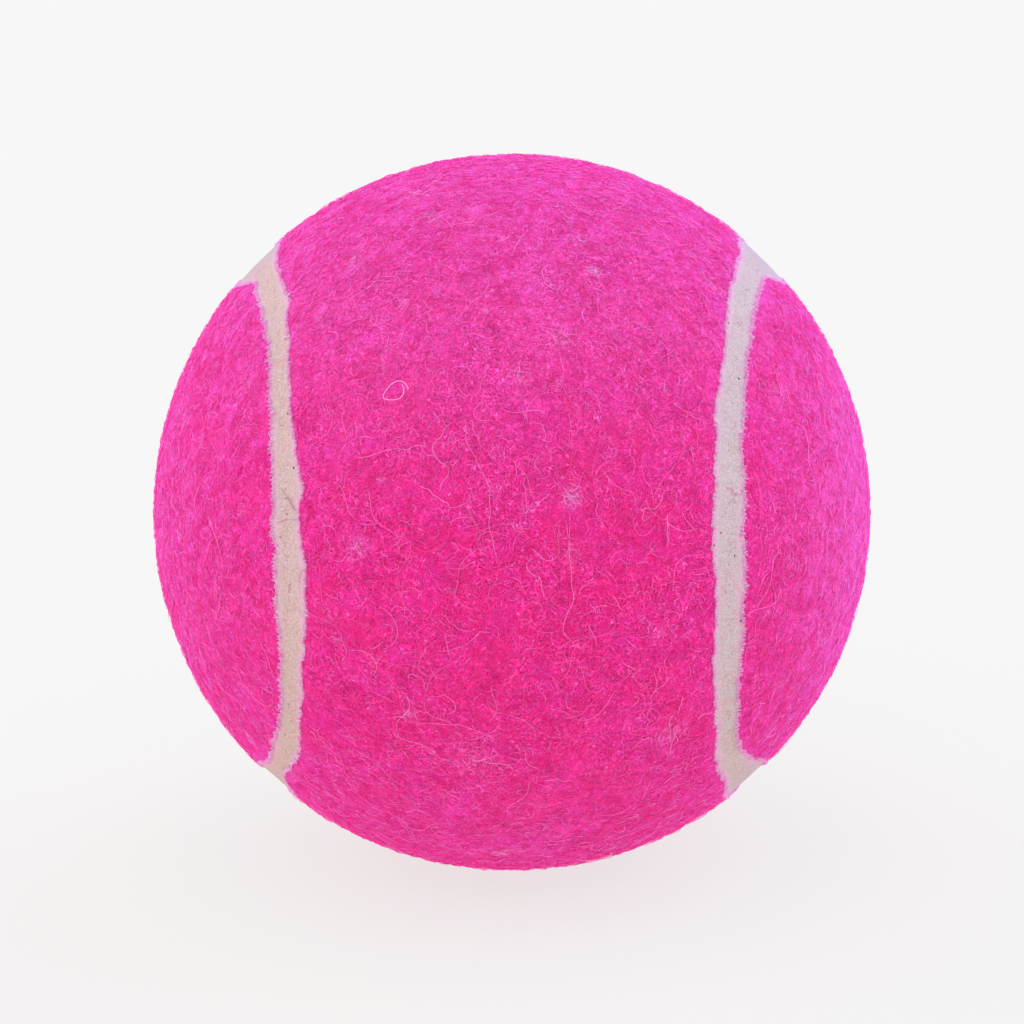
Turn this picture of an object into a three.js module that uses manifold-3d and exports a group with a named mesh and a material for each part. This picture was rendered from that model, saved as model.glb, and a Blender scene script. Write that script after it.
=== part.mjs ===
// A felt-covered tennis ball, in millimetres, centred on the origin with +Z up.
// The waist of the upright panel faces -Y, and the waist of the level panel faces +Y.
import * as THREE from "three";
import { mergeVertices } from "three/addons/utils/BufferGeometryUtils.js";
import Module from "manifold-3d";

// Overall size, and the layers from the outside in.
const ballDiameter = 67;
const feltThickness = 3;
const cementCoatThickness = 0.25;
const coreWall = 3.3;
const layerClearance = 0.3;

// The seam: its rubber's width between the felt edges, how far it lies below the nap, and the dish of its face.
const seamWidth = 3;
const seamRecess = 0.45;
const seamDish = 0.15;
const seamSideClearance = 0.1;
const feltEdgeRadius = 1;

// The seam's line: half the angle across a panel's waist, and the swing that swells the lobes.
const waistHalfAngle = THREE.MathUtils.degToRad(33);
const lobeSwing = THREE.MathUtils.degToRad(18.6);

// The core's joint: the cement between the two rims, and the bead pressed out of it on the inside.
const jointThickness = 0.3;
const beadHeight = 1.4;
const beadDepth = 0.8;

// The patch of nap that is pressed flat where the ball stands.
const restPatchDepth = 0.35;

// Facets. The seam's stations swing along it so that they are as far apart on the lobes as at the waists.
const seamSteps = 80;
const stationSwing = 0.12;
const outerRings = 7;
const innerRings = 6;
const edgeSteps = 3;
const seamFaceSteps = 4;
const coreSegments = 40;
const coreArcSteps = 10;
const beadSteps = 6;

// Radii that follow from the sizes above.
const ballRadius = ballDiameter / 2;
const feltInnerRadius = ballRadius - feltThickness;
const coatOuterRadius = feltInnerRadius - layerClearance;
const coatInnerRadius = coatOuterRadius - cementCoatThickness;
const coreRadius = coatInnerRadius - layerClearance;
const coreInnerRadius = coreRadius - coreWall;
const seamInnerRadius = coreRadius + layerClearance;
const seamOuterRadius = ballRadius - seamRecess;

const materials = {
  felt: new THREE.MeshStandardMaterial({ color: 0xe93f98, roughness: 0.95, metalness: 0 }),
  seam: new THREE.MeshStandardMaterial({ color: 0xd4bcbe, roughness: 0.8, metalness: 0 }),
  cement: new THREE.MeshStandardMaterial({ color: 0xcbb795, roughness: 0.75, metalness: 0 }),
  core: new THREE.MeshStandardMaterial({ color: 0x33302f, roughness: 0.85, metalness: 0 }),
};

const wasm = await Module();
wasm.setup();

// The point of the seam's line at t, which goes once round in four half turns, as a unit vector.
function seamDirection(t) {
  const polar = Math.PI / 2 - (Math.PI / 2 - waistHalfAngle) * Math.cos(t);
  const around = t / 2 + lobeSwing * Math.sin(2 * t);
  return new THREE.Vector3(
    Math.sin(polar) * Math.cos(around),
    -Math.cos(polar),
    Math.sin(polar) * Math.sin(around),
  );
}

// The direction a given distance to the side of the seam's line, measured at the ball's surface.
// Positive distances lie in the upright panel.
function besideSeam(t, distance) {
  const step = 1e-4;
  const point = seamDirection(t);
  const along = seamDirection(t + step).sub(seamDirection(t - step)).normalize();
  const sideways = point.clone().cross(along).normalize();
  const angle = distance / ballRadius;
  return point.multiplyScalar(Math.cos(angle)).addScaledVector(sideways, Math.sin(angle));
}

// The middle line of the upright panel is an arc in the YZ plane. Its end is the centre of the lobe, which is
// as far from the lobe's tip as from the point where the seam is halfway between the two waists.
const lobeCentreAngle = Math.atan2(Math.cos(waistHalfAngle), Math.sin(waistHalfAngle) - Math.SQRT1_2);

// The point of the middle line across from a point of the panel's edge.
function middleLineOpposite(edge) {
  const foot = Math.atan2(edge.z, -edge.y);
  const angle = THREE.MathUtils.clamp(foot, -lobeCentreAngle, lobeCentreAngle);
  return new THREE.Vector3(0, -Math.cos(angle), Math.sin(angle));
}

// The direction a share of the way along the great circle from one direction to another.
function between(from, to, share) {
  const angle = from.angleTo(to);
  return from
    .clone()
    .multiplyScalar(Math.sin((1 - share) * angle) / Math.sin(angle))
    .addScaledVector(to, Math.sin(share * angle) / Math.sin(angle));
}

// A closed skin over columns of points. The columns follow each other round a loop, and each one's last point
// joins its first where the section is closed.
function skinOver(columns, sectionIsClosed) {
  const rows = columns[0].length;
  const positions = columns.flatMap((column) => column.flatMap((point) => point.toArray()));
  const raw = new THREE.BufferGeometry();
  const index = [];
  const lastRow = sectionIsClosed ? rows : rows - 1;
  columns.forEach((column, c) => {
    const next = (c + 1) % columns.length;
    for (let r = 0; r < lastRow; r++) {
      const above = (r + 1) % rows;
      const corners = [c * rows + r, next * rows + r, next * rows + above, c * rows + above];
      index.push(corners[0], corners[1], corners[2], corners[0], corners[2], corners[3]);
    }
  });
  raw.setAttribute("position", new THREE.Float32BufferAttribute(positions, 3));
  raw.setIndex(index);
  return withoutFlatTriangles(mergeVertices(raw, 1e-3));
}

// The same geometry without the triangles that have two corners at one vertex.
function withoutFlatTriangles(geometry) {
  const kept = [];
  const index = geometry.index.array;
  for (let i = 0; i < index.length; i += 3) {
    const [a, b, c] = index.subarray(i, i + 3);
    if (a !== b && b !== c && c !== a) kept.push(a, b, c);
  }
  geometry.setIndex(kept);
  return geometry;
}

// The parameters of the seam's line at which its pieces have a section.
function seamStations() {
  return Array.from({ length: seamSteps }, (_, i) => {
    const turn = (4 * Math.PI * i) / seamSteps;
    return turn + stationSwing * Math.sin(2 * turn);
  });
}

// A dumbbell-shaped sheet between two radii that ends at the seam. Its outer edge is rounded by edgeRadius.
function panelGeometry(innerRadius, outerRadius, edgeRadius) {
  const edgeDistance = seamWidth / 2;
  const columns = seamStations().map((t) => {
    const foot = besideSeam(t, edgeDistance);
    const shoulder = besideSeam(t, edgeDistance + edgeRadius);
    const middle = middleLineOpposite(foot);
    const column = [];
    for (let i = innerRings; i >= 0; i--) {
      column.push(between(foot, middle, i / innerRings).multiplyScalar(innerRadius));
    }
    for (let i = 0; edgeRadius > 0 && i < edgeSteps; i++) {
      const turn = (i / edgeSteps) * (Math.PI / 2);
      const inward = edgeDistance + edgeRadius * (1 - Math.cos(turn));
      const radius = outerRadius - edgeRadius * (1 - Math.sin(turn));
      column.push(besideSeam(t, inward).multiplyScalar(radius));
    }
    const rings = edgeRadius > 0 ? outerRings : innerRings;
    for (let i = 0; i <= rings; i++) {
      column.push(between(shoulder, middle, i / rings).multiplyScalar(outerRadius));
    }
    return column;
  });
  return skinOver(columns, false);
}

// The loop of rubber between the felt edges, with radial sides and a dished face.
function seamGeometry() {
  const halfWidth = seamWidth / 2 - seamSideClearance;
  const columns = seamStations().map((t) => {
    const column = [1, 0, -1].map((side) =>
      besideSeam(t, side * halfWidth).multiplyScalar(seamInnerRadius),
    );
    for (let i = 0; i <= seamFaceSteps; i++) {
      const across = (2 * i) / seamFaceSteps - 1;
      const dip = seamDish * (1 - across * across);
      column.push(besideSeam(t, across * halfWidth).multiplyScalar(seamOuterRadius - dip));
    }
    return column;
  });
  return skinOver(columns, true);
}

// A profile of [radius, height] pairs revolved about the Z axis.
function revolved(profile) {
  const points = profile.map(([radius, height]) => new THREE.Vector2(radius, height));
  return new THREE.LatheGeometry(points, coreSegments).rotateX(Math.PI / 2);
}

// The upper cup of the core, whose rim stands off the joint's middle plane.
function coreHalfGeometry() {
  const rimHeight = jointThickness / 2 + layerClearance;
  const arc = (radius) => {
    const start = Math.asin(rimHeight / radius);
    return Array.from({ length: coreArcSteps + 1 }, (_, i) => {
      const angle = start + ((Math.PI / 2 - start) * i) / coreArcSteps;
      return [i === coreArcSteps ? 0 : radius * Math.cos(angle), radius * Math.sin(angle)];
    });
  };
  return revolved([...arc(coreInnerRadius).reverse(), ...arc(coreRadius)]);
}

// The ring of cement between the rims, with the bead that it forms on the inside.
function jointGeometry() {
  const beadBack = coreInnerRadius - layerClearance;
  const bead = Array.from({ length: beadSteps + 1 }, (_, i) => {
    const turn = Math.PI * (0.5 - i / beadSteps);
    return [beadBack - beadDepth * Math.cos(turn), (beadHeight / 2) * Math.sin(turn)];
  });
  const web = [
    [beadBack, -jointThickness / 2],
    [coreRadius, -jointThickness / 2],
    [coreRadius, jointThickness / 2],
    [beadBack, jointThickness / 2],
  ];
  return revolved([...bead, ...web, bead[0]]);
}

// The solid of a closed geometry, for cutting.
function solidOf(geometry) {
  const bare = geometry.clone();
  bare.deleteAttribute("normal");
  bare.deleteAttribute("uv");
  const merged = mergeVertices(bare, 1e-3);
  return new wasm.Manifold(
    new wasm.Mesh({
      numProp: 3,
      vertProperties: merged.attributes.position.array,
      triVerts: new Uint32Array(merged.index.array),
    }),
  );
}

// The geometry of a solid.
function geometryOf(solid) {
  const mesh = solid.getMesh();
  return new THREE.BufferGeometry()
    .setAttribute("position", new THREE.BufferAttribute(mesh.vertProperties, 3))
    .setIndex(new THREE.BufferAttribute(mesh.triVerts, 1));
}

// The upright felt panel with the nap under the ball cut flat.
function flattenedBelow(geometry) {
  const block = new THREE.BoxGeometry(ballDiameter, ballDiameter, ballDiameter);
  block.translate(0, 0, restPatchDepth - ballRadius - ballDiameter / 2);
  return geometryOf(solidOf(geometry).subtract(solidOf(block)));
}

function named(name, geometry, material) {
  const mesh = new THREE.Mesh(geometry, material);
  mesh.name = name;
  geometry.computeVertexNormals();
  return mesh;
}

// The level panels are the upright ones after half a turn about the diagonal between +X and +Z.
const levelTurn = new THREE.Quaternion().setFromAxisAngle(
  new THREE.Vector3(1, 0, 1).normalize(),
  Math.PI,
);

function makeCore() {
  const core = new THREE.Group();
  const upper = named("core_half_upper", coreHalfGeometry(), materials.core);
  const lower = named("core_half_lower", coreHalfGeometry(), materials.core);
  lower.rotation.x = Math.PI;
  core.add(upper, lower, named("core_joint_cement", jointGeometry(), materials.cement));
  return core;
}

function makeCover() {
  const felt = panelGeometry(feltInnerRadius, ballRadius, feltEdgeRadius);
  const coat = panelGeometry(coatInnerRadius, coatOuterRadius, 0);
  const upright = new THREE.Group();
  upright.add(
    named("felt_panel_upright", flattenedBelow(felt), materials.felt),
    named("panel_cement_upright", coat, materials.cement),
  );
  const level = new THREE.Group();
  level.quaternion.copy(levelTurn);
  level.add(
    named("felt_panel_level", felt, materials.felt),
    named("panel_cement_level", coat, materials.cement),
  );
  const cover = new THREE.Group();
  cover.add(upright, level, named("seam_rubber", seamGeometry(), materials.seam));
  return cover;
}

const ball = new THREE.Group();
ball.name = "tennis_ball";
ball.add(makeCore(), makeCover());

export default ball;
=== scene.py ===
"""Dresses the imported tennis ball: felt panels with their nap, seam rubber, core, floor, light and camera.

Lengths are in metres, the ball's centre is the origin, and the waist of the upright panel faces -Y.
"""

import logging
import math
from dataclasses import dataclass, field
from enum import Enum
from typing import Any, Iterable, Sequence

import bpy
import numpy as np
from mathutils import Matrix, Vector
from mathutils.bvhtree import BVHTree


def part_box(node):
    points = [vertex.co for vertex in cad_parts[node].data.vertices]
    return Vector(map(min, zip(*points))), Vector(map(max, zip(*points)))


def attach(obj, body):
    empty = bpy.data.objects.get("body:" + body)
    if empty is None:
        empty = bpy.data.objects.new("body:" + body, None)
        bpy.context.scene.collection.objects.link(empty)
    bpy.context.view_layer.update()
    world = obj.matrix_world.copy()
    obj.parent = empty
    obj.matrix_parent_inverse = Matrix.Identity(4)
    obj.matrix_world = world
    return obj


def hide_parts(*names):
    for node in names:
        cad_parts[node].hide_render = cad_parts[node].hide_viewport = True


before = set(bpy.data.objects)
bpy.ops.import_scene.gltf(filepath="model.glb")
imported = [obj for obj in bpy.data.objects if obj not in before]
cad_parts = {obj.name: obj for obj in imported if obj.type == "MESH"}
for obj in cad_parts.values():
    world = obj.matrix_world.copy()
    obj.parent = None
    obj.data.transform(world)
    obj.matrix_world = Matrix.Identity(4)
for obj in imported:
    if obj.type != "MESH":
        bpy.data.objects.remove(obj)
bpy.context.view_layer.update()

MM = 0.001
IMAGE_SIDE = 1024
FELT_THICKNESS = 3.0 * MM
SEAM_DEPTH = 2.6 * MM
FLOOR_GAP = 0.02 * MM
NAP_FLOOR_GAP = 0.03 * MM
MERGE_DISTANCE = 0.0015 * MM
Colour = tuple[float, float, float]
Array = np.ndarray

log = logging.getLogger("tennis_ball")


class Panel(Enum):
    """The two felt panels, by the side of the seam's line on which each lies."""

    UPRIGHT = 1
    LEVEL = -1


class Field(Enum):
    """The stretches of a panel that have their nap in one piece."""

    WAIST = "waist"
    FIRST_LOBE = "first_lobe"
    SECOND_LOBE = "second_lobe"


def unit(vectors: Array) -> Array:
    """Returns the vectors scaled to length one, along the last axis."""
    return vectors / np.linalg.norm(vectors, axis=-1, keepdims=True)


def linear(red: int, green: int, blue: int) -> Colour:
    """Returns the linear colour of an 8-bit display colour."""
    return tuple(
        value / 12.92 if value <= 0.04045 else ((value + 0.055) / 1.055) ** 2.4
        for value in (red / 255, green / 255, blue / 255)
    )


class Graph:
    """Adds nodes to one shader tree and links them."""

    def __init__(self, tree: bpy.types.NodeTree) -> None:
        """Keeps the tree.

        Args:
            tree: The tree that gets the nodes.
        """
        self.tree = tree

    def add(self, kind: str, inputs: dict[str, Any] | None = None, **settings: Any) -> bpy.types.Node:
        """Adds a node.

        Args:
            kind: The node's type without its ShaderNode prefix.
            inputs: Values or sockets for its inputs, by name.
            **settings: Properties of the node itself.

        Returns:
            The new node.
        """
        node = self.tree.nodes.new("ShaderNode" + kind)
        for name, value in settings.items():
            setattr(node, name, value)
        for name, value in (inputs or {}).items():
            self.feed(node.inputs[name], value)
        return node

    def feed(self, socket: bpy.types.NodeSocket, value: Any) -> None:
        """Links a socket to an input, or sets the input's own value.

        Args:
            socket: The input.
            value: A socket to link from, a number or a colour.
        """
        if isinstance(value, bpy.types.NodeSocket):
            self.tree.links.new(value, socket)
        elif socket.type == "RGBA" and len(value) == 3:
            socket.default_value = (*value, 1.0)
        else:
            socket.default_value = value

    def math(self, operation: str, *values: Any, clamp: bool = False) -> bpy.types.NodeSocket:
        """Returns the output of a Math node on the values."""
        node = self.add("Math", operation=operation, use_clamp=clamp)
        for socket, value in zip(node.inputs, values):
            self.feed(socket, value)
        return node.outputs[0]

    def mix(self, share: Any, first: Any, second: Any) -> bpy.types.NodeSocket:
        """Returns the colour that lies a share of the way from the first colour to the second."""
        node = self.add("Mix", data_type="RGBA")
        self.feed(node.inputs[0], share)
        self.feed(node.inputs[6], first)
        self.feed(node.inputs[7], second)
        return node.outputs[2]

    def product(self, *values: Any) -> bpy.types.NodeSocket:
        """Returns the product of the values, multiplied from the first on."""
        result = values[0]
        for value in values[1:]:
            result = self.math("MULTIPLY", result, value)
        return result

    def span(
        self, value: Any, low: float, high: float, to_low: float = 0.0, to_high: float = 1.0
    ) -> bpy.types.NodeSocket:
        """Returns a value moved from one range to another and kept inside it."""
        inputs = {"Value": value, "From Min": low, "From Max": high, "To Min": to_low, "To Max": to_high}
        return self.add("MapRange", inputs).outputs[0]

    def moved(self, vector: Any, by: tuple[float, float, float]) -> bpy.types.NodeSocket:
        """Returns the vector moved by three lengths."""
        node = self.add("VectorMath", operation="ADD")
        self.feed(node.inputs[0], vector)
        self.feed(node.inputs[1], by)
        return node.outputs[0]

    def noise(
        self, vector: Any, size: float, detail: float = 2.0, offset: float = 0.0
    ) -> bpy.types.NodeSocket:
        """Returns noise whose features are about size metres across."""
        shifted = self.moved(vector, (offset, offset * 0.7, -offset))
        inputs = {"Vector": shifted, "Scale": 1.0 / size, "Detail": detail, "Roughness": 0.55}
        return self.add("TexNoise", inputs).outputs[0]


def new_group(
    name: str, inputs: dict[str, float | None], outputs: Iterable[str]
) -> tuple[bpy.types.NodeTree, Graph, Any, Any]:
    """Makes a shader node group with a vector input, number inputs and number outputs.

    Args:
        name: The group's name.
        inputs: The default of each number input, by name. None makes it a vector.
        outputs: The names of its outputs.

    Returns:
        The tree, a graph on it, its input node and its output node.
    """
    tree = bpy.data.node_groups.new(name, "ShaderNodeTree")
    for label, default in inputs.items():
        kind = "NodeSocketVector" if default is None else "NodeSocketFloat"
        socket = tree.interface.new_socket(label, in_out="INPUT", socket_type=kind)
        if default is not None:
            socket.default_value = default
    for label in outputs:
        tree.interface.new_socket(label, in_out="OUTPUT", socket_type="NodeSocketFloat")
    return tree, Graph(tree), tree.nodes.new("NodeGroupInput"), tree.nodes.new("NodeGroupOutput")


TANGLE_SIZE = 0.32 * MM
# Each layer of the tangle: how much finer it is, how wide its strands are, and how high they lie.
TANGLE_LAYERS = (
    (1.2, 0.05, 0.3), (1.0, 0.045, 0.5), (1.1, 0.04, 0.7), (0.9, 0.035, 0.85), (0.7, 0.018, 1.0),
)


@dataclass
class SharedPatterns:
    """The patterns that more than one finish uses, each as a node group."""

    tangle: bpy.types.NodeTree = field(init=False)
    mottle: bpy.types.NodeTree = field(init=False)
    specks: bpy.types.NodeTree = field(init=False)

    def __post_init__(self) -> None:
        """Builds the groups."""
        self.tangle = self._tangle()
        self.mottle = self._mottle()
        self.specks = self._specks()

    def _tangle(self) -> bpy.types.NodeTree:
        """Returns a group that lays curly fibres over each other, from dark gaps to the topmost."""
        inputs = {"Vector": None, "Size": TANGLE_SIZE}
        tree, graph, entry, exit_ = new_group("fibre_tangle", inputs, ("Height",))
        scale = graph.math("DIVIDE", 1.0, entry.outputs["Size"])
        height: Any = 0.0
        for layer, (finer, width, level) in enumerate(TANGLE_LAYERS):
            vector = graph.moved(entry.outputs["Vector"], (0.11 * layer, -0.07 * layer, 0.05 * layer))
            inputs = {"Vector": vector, "Scale": graph.math("MULTIPLY", scale, finer)}
            curls = {"Detail": 1.0, "Roughness": 0.4, "Distortion": 0.9}
            noise = graph.add("TexNoise", {**inputs, **curls}).outputs[0]
            off = graph.math("ABSOLUTE", graph.math("SUBTRACT", noise, 0.5))
            strand = graph.span(off, width * 0.45, width, 1.0, 0.0)
            rise = graph.math("MULTIPLY", strand, graph.math("SUBTRACT", level, height))
            height = graph.math("ADD", height, rise)
        graph.feed(exit_.inputs["Height"], height)
        return tree

    def _mottle(self) -> bpy.types.NodeTree:
        """Returns a group that gives redder and cooler patches, and a painted sheen: paler lilac nap towards
        the top, the sides and the bottom.
        """
        tree, graph, entry, exit_ = new_group("felt_mottle_and_painted_sheen", {"Vector": None}, ("Deep", "Cool", "Bloom"))
        vector = entry.outputs["Vector"]
        broad = graph.noise(vector, 6.0 * MM, 2.0)
        close = graph.noise(vector, 1.5 * MM, 3.0, 0.3)
        both = graph.math("ADD", graph.product(broad, 0.65), graph.product(close, 0.35))
        graph.feed(exit_.inputs["Deep"], graph.span(both, 0.44, 0.6))
        broad_cool = graph.product(graph.noise(vector, 4.0 * MM, 2.0, 0.8), 0.65)
        close_cool = graph.product(graph.noise(vector, 1.1 * MM, 2.0, 1.3), 0.35)
        cool = graph.math("ADD", broad_cool, close_cool)
        graph.feed(exit_.inputs["Cool"], graph.span(cool, 0.48, 0.66))
        # Painted sheen: paler lilac towards the top, strongest towards the right outline, weaker towards the
        # left and low on the ball, where the nap catches the light at a slant.
        across, _, up = graph.add("SeparateXYZ", {"Vector": vector}).outputs
        right = graph.product(graph.math("POWER", graph.span(across, 14.0 * MM, 33.0 * MM), 2.4), 3.2)
        left = graph.product(graph.math("POWER", graph.span(across, -14.0 * MM, -33.0 * MM), 2.0), 1.4)
        low = graph.span(up, -25.0 * MM, -14.0 * MM, 0.4, 0.0)
        aside = graph.math("MINIMUM", graph.math("ADD", graph.math("ADD", left, right), low), 2.2)
        bloom = graph.math("MAXIMUM", graph.span(up, 4.0 * MM, 20.0 * MM), aside)
        graph.feed(exit_.inputs["Bloom"], graph.product(bloom, graph.span(broad, 0.3, 0.7, 0.85, 1.15)))
        return tree

    def _specks(self) -> bpy.types.NodeTree:
        """Returns a group that scatters small dots of uneven size."""
        inputs = {"Vector": None, "Spacing": 1.0 * MM, "Radius": 0.2}
        tree, graph, entry, exit_ = new_group("specks", inputs, ("Dots",))
        scale = graph.math("DIVIDE", 1.0, entry.outputs["Spacing"])
        cells = graph.add("TexVoronoi", {"Vector": entry.outputs["Vector"], "Scale": scale})
        own = graph.add("SeparateColor", {"Color": cells.outputs["Color"]}).outputs[0]
        radius = graph.math("MULTIPLY", entry.outputs["Radius"], graph.math("POWER", own, 3.0))
        inside = graph.math("SUBTRACT", radius, cells.outputs["Distance"])
        graph.feed(exit_.inputs["Dots"], graph.math("MULTIPLY", inside, 12.0, clamp=True))
        return tree


class Finish:
    """A finish that makes one material."""

    name = "finish"

    def __init__(self, patterns: SharedPatterns) -> None:
        """Keeps the shared patterns.

        Args:
            patterns: The node groups that finishes share.
        """
        self.patterns = patterns

    def material(self) -> bpy.types.Material:
        """Makes the material and draws its pattern.

        Returns:
            The finished material.
        """
        made = bpy.data.materials.new(self.name)
        made.use_nodes = True
        graph = Graph(made.node_tree)
        shader = made.node_tree.nodes["Principled BSDF"]
        coordinates = graph.add("TexCoord").outputs["Object"]
        self.draw(graph, shader, coordinates)
        return made

    def draw(self, graph: Graph, shader: bpy.types.Node, vector: bpy.types.NodeSocket) -> None:
        """Adds the finish's own nodes.

        Args:
            graph: The graph of the material.
            shader: Its Principled BSDF.
            vector: The object coordinates.
        """
        raise NotImplementedError

    def group(self, graph: Graph, tree: bpy.types.NodeTree, inputs: dict[str, Any]) -> bpy.types.Node:
        """Returns a group node with its inputs fed."""
        node = graph.tree.nodes.new("ShaderNodeGroup")
        node.node_tree = tree
        for name, value in inputs.items():
            graph.feed(node.inputs[name], value)
        return node

    def relief(self, graph: Graph, height: Any, depth: float) -> bpy.types.NodeSocket:
        """Returns the normal of a bump that is depth metres deep."""
        return graph.add("Bump", {"Height": height, "Distance": depth, "Strength": 1.0}).outputs[0]


class ClothFinish(Finish):
    """What the matted felt and its loose fibres share: their patches, the painted shade of their gaps, their
    painted sheen and the sheen of their shader.
    """

    # gap is painted shade: the dark of the hollows between the fibres.
    gap: Colour = linear(166, 0, 62)
    deep: Colour = linear(242, 16, 98)
    cool: Colour = linear(240, 40, 182)
    # The painted sheen is painted light: a pale lilac mixed into the felt and its fibres towards the top and
    # the sides, standing in for their sheen.
    bloom: Colour = linear(252, 140, 240)
    painted_sheen_share: float = 0.165
    haze: Colour = (0.94, 0.18, 0.93)

    def patched(self, graph: Graph, mottle: bpy.types.Node, colour: Any, shares: dict[str, float]) -> Any:
        """Mixes the redder and the cooler patches into a colour.

        Args:
            graph: The graph of the material.
            mottle: The node that gives the patches.
            colour: The colour so far.
            shares: How much of each kind of patch is mixed in.

        Returns:
            The patched colour.
        """
        for kind, patch in (("Deep", self.deep), ("Cool", self.cool)):
            colour = graph.mix(graph.product(mottle.outputs[kind], shares[kind]), colour, patch)
        return colour

    def with_painted_sheen(self, graph: Graph, mottle: bpy.types.Node, colour: Any, lift: Any) -> Any:
        """Mixes the painted sheen into a colour, by how high or how pale the fibre is."""
        return graph.mix(graph.product(mottle.outputs["Bloom"], self.painted_sheen_share, lift), colour, self.bloom)

    def ramp(self, graph: Graph, value: Any, stops: Sequence[tuple[float, Colour]]) -> Any:
        """Returns the colour of a ramp through the stops at a value."""
        node = graph.add("ValToRGB", {"Fac": value})
        elements = node.color_ramp.elements
        elements[0].color = (*stops[0][1], 1.0)
        elements[1].color = (*stops[-1][1], 1.0)
        for at, tone in stops[1:-1]:
            elements.new(at).color = (*tone, 1.0)
        return node.outputs[0]

    def soften(self, shader: bpy.types.Node, roughness: float, gloss: float, sheen: float) -> None:
        """Gives the shader a cloth's roughness, weak gloss and tinted sheen."""
        shader.inputs["Roughness"].default_value = roughness
        shader.inputs["Specular IOR Level"].default_value = gloss
        shader.inputs["Sheen Weight"].default_value = sheen
        shader.inputs["Sheen Roughness"].default_value = 0.6
        shader.inputs["Sheen Tint"].default_value = (*self.haze, 1.0)


class FeltFinish(ClothFinish):
    """Matted pink felt under its nap: curly fibres over dark gaps of painted shade, in redder, cooler and
    paler patches, with a painted sheen.
    """

    name = "pink_felt"
    low: Colour = linear(240, 12, 106)
    body: Colour = linear(250, 26, 132)
    high: Colour = linear(255, 58, 164)
    pale: Colour = linear(255, 116, 200)
    tuft: Colour = linear(244, 150, 220)

    def draw(self, graph: Graph, shader: bpy.types.Node, vector: bpy.types.NodeSocket) -> None:
        """Colours the tangle by its height, darker the lower it lies as painted shade, mixes the patches and
        the painted sheen in, and raises its fibres.
        """
        height = self.group(graph, self.patterns.tangle, {"Vector": vector}).outputs["Height"]
        mottle = self.group(graph, self.patterns.mottle, {"Vector": vector})
        # Painted shade of depth: the lower a fibre lies in the tangle, the darker it is, down to the gaps.
        stops = ((0.0, self.gap), (0.3, self.low), (0.55, self.body), (0.85, self.high), (1.0, self.pale))
        colour = self.patched(graph, mottle, self.ramp(graph, height, stops), {"Deep": 0.38, "Cool": 0.26})
        colour = self.with_painted_sheen(graph, mottle, colour, graph.span(height, 0.2, 0.9, 0.5, 1.6))
        paleness = graph.add("Attribute", attribute_name="tuft").outputs["Fac"]
        share = graph.product(paleness, graph.span(height, 0.2, 0.9, 0.1, 1.0))
        graph.feed(shader.inputs["Base Color"], graph.mix(share, colour, self.tuft))
        graph.feed(shader.inputs["Normal"], self.relief(graph, height, 0.06 * MM))
        self.soften(shader, 1.0, 0.05, 0.72)


@dataclass(frozen=True)
class StrandTone:
    """The colours of a kind of strand.

    Attributes:
        name: The material's name.
        root: The colour of the darkest strands.
        middle: The colour halfway.
        tip: The colour of the palest strands.
        tuft: The colour in a tuft.
        patchy: How much it takes of the felt's patches.
        pepper: How much painted shade it takes from the felt's dark gaps, as fine dark grains.
        sheen: The weight of its sheen.
    """

    name: str
    root: Colour
    middle: Colour
    tip: Colour
    tuft: Colour
    patchy: float = 0.0
    pepper: float = 0.0
    sheen: float = 0.75


class StrandFinish(ClothFinish):
    """Fibres whose own shade is in the attribute called shade, paler where the felt has tufts."""

    def __init__(self, patterns: SharedPatterns, tone: StrandTone) -> None:
        """Keeps the tone too.

        Args:
            patterns: The node groups that finishes share.
            tone: The strand's colours.
        """
        super().__init__(patterns)
        self.tone = tone
        self.name = tone.name

    def draw(self, graph: Graph, shader: bpy.types.Node, vector: bpy.types.NodeSocket) -> None:
        """Colours each strand by its shade and by the patch that it lies in, adds the painted sheen, and
        paints fine grains of the gaps' shade along it.
        """
        shade = graph.add("Attribute", attribute_name="shade").outputs["Fac"]
        paleness = graph.add("Attribute", attribute_name="tuft").outputs["Fac"]
        mottle = self.group(graph, self.patterns.mottle, {"Vector": vector})
        stops = ((0.0, self.tone.root), (0.5, self.tone.middle), (1.0, self.tone.tip))
        shares = dict.fromkeys(("Deep", "Cool"), self.tone.patchy)
        colour = self.patched(graph, mottle, self.ramp(graph, shade, stops), shares)
        colour = self.with_painted_sheen(graph, mottle, colour, graph.span(shade, 0.1, 0.8, 0.5, 2.0))
        # Painted shade: fine grains of the felt's dark gap colour along the strands.
        painted_shade_grains = graph.span(graph.noise(vector, 0.12 * MM, 1.0, 3.1), 0.52, 0.64, 0.0, self.tone.pepper)
        colour = graph.mix(painted_shade_grains, colour, self.gap)
        share = graph.span(graph.math("ADD", paleness, shade), 0.75, 1.15)
        share = graph.product(share, graph.math("MULTIPLY", paleness, 2.0, clamp=True))
        graph.feed(shader.inputs["Base Color"], graph.mix(share, colour, self.tone.tuft))
        self.soften(shader, 0.9, 0.1, self.tone.sheen)


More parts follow.
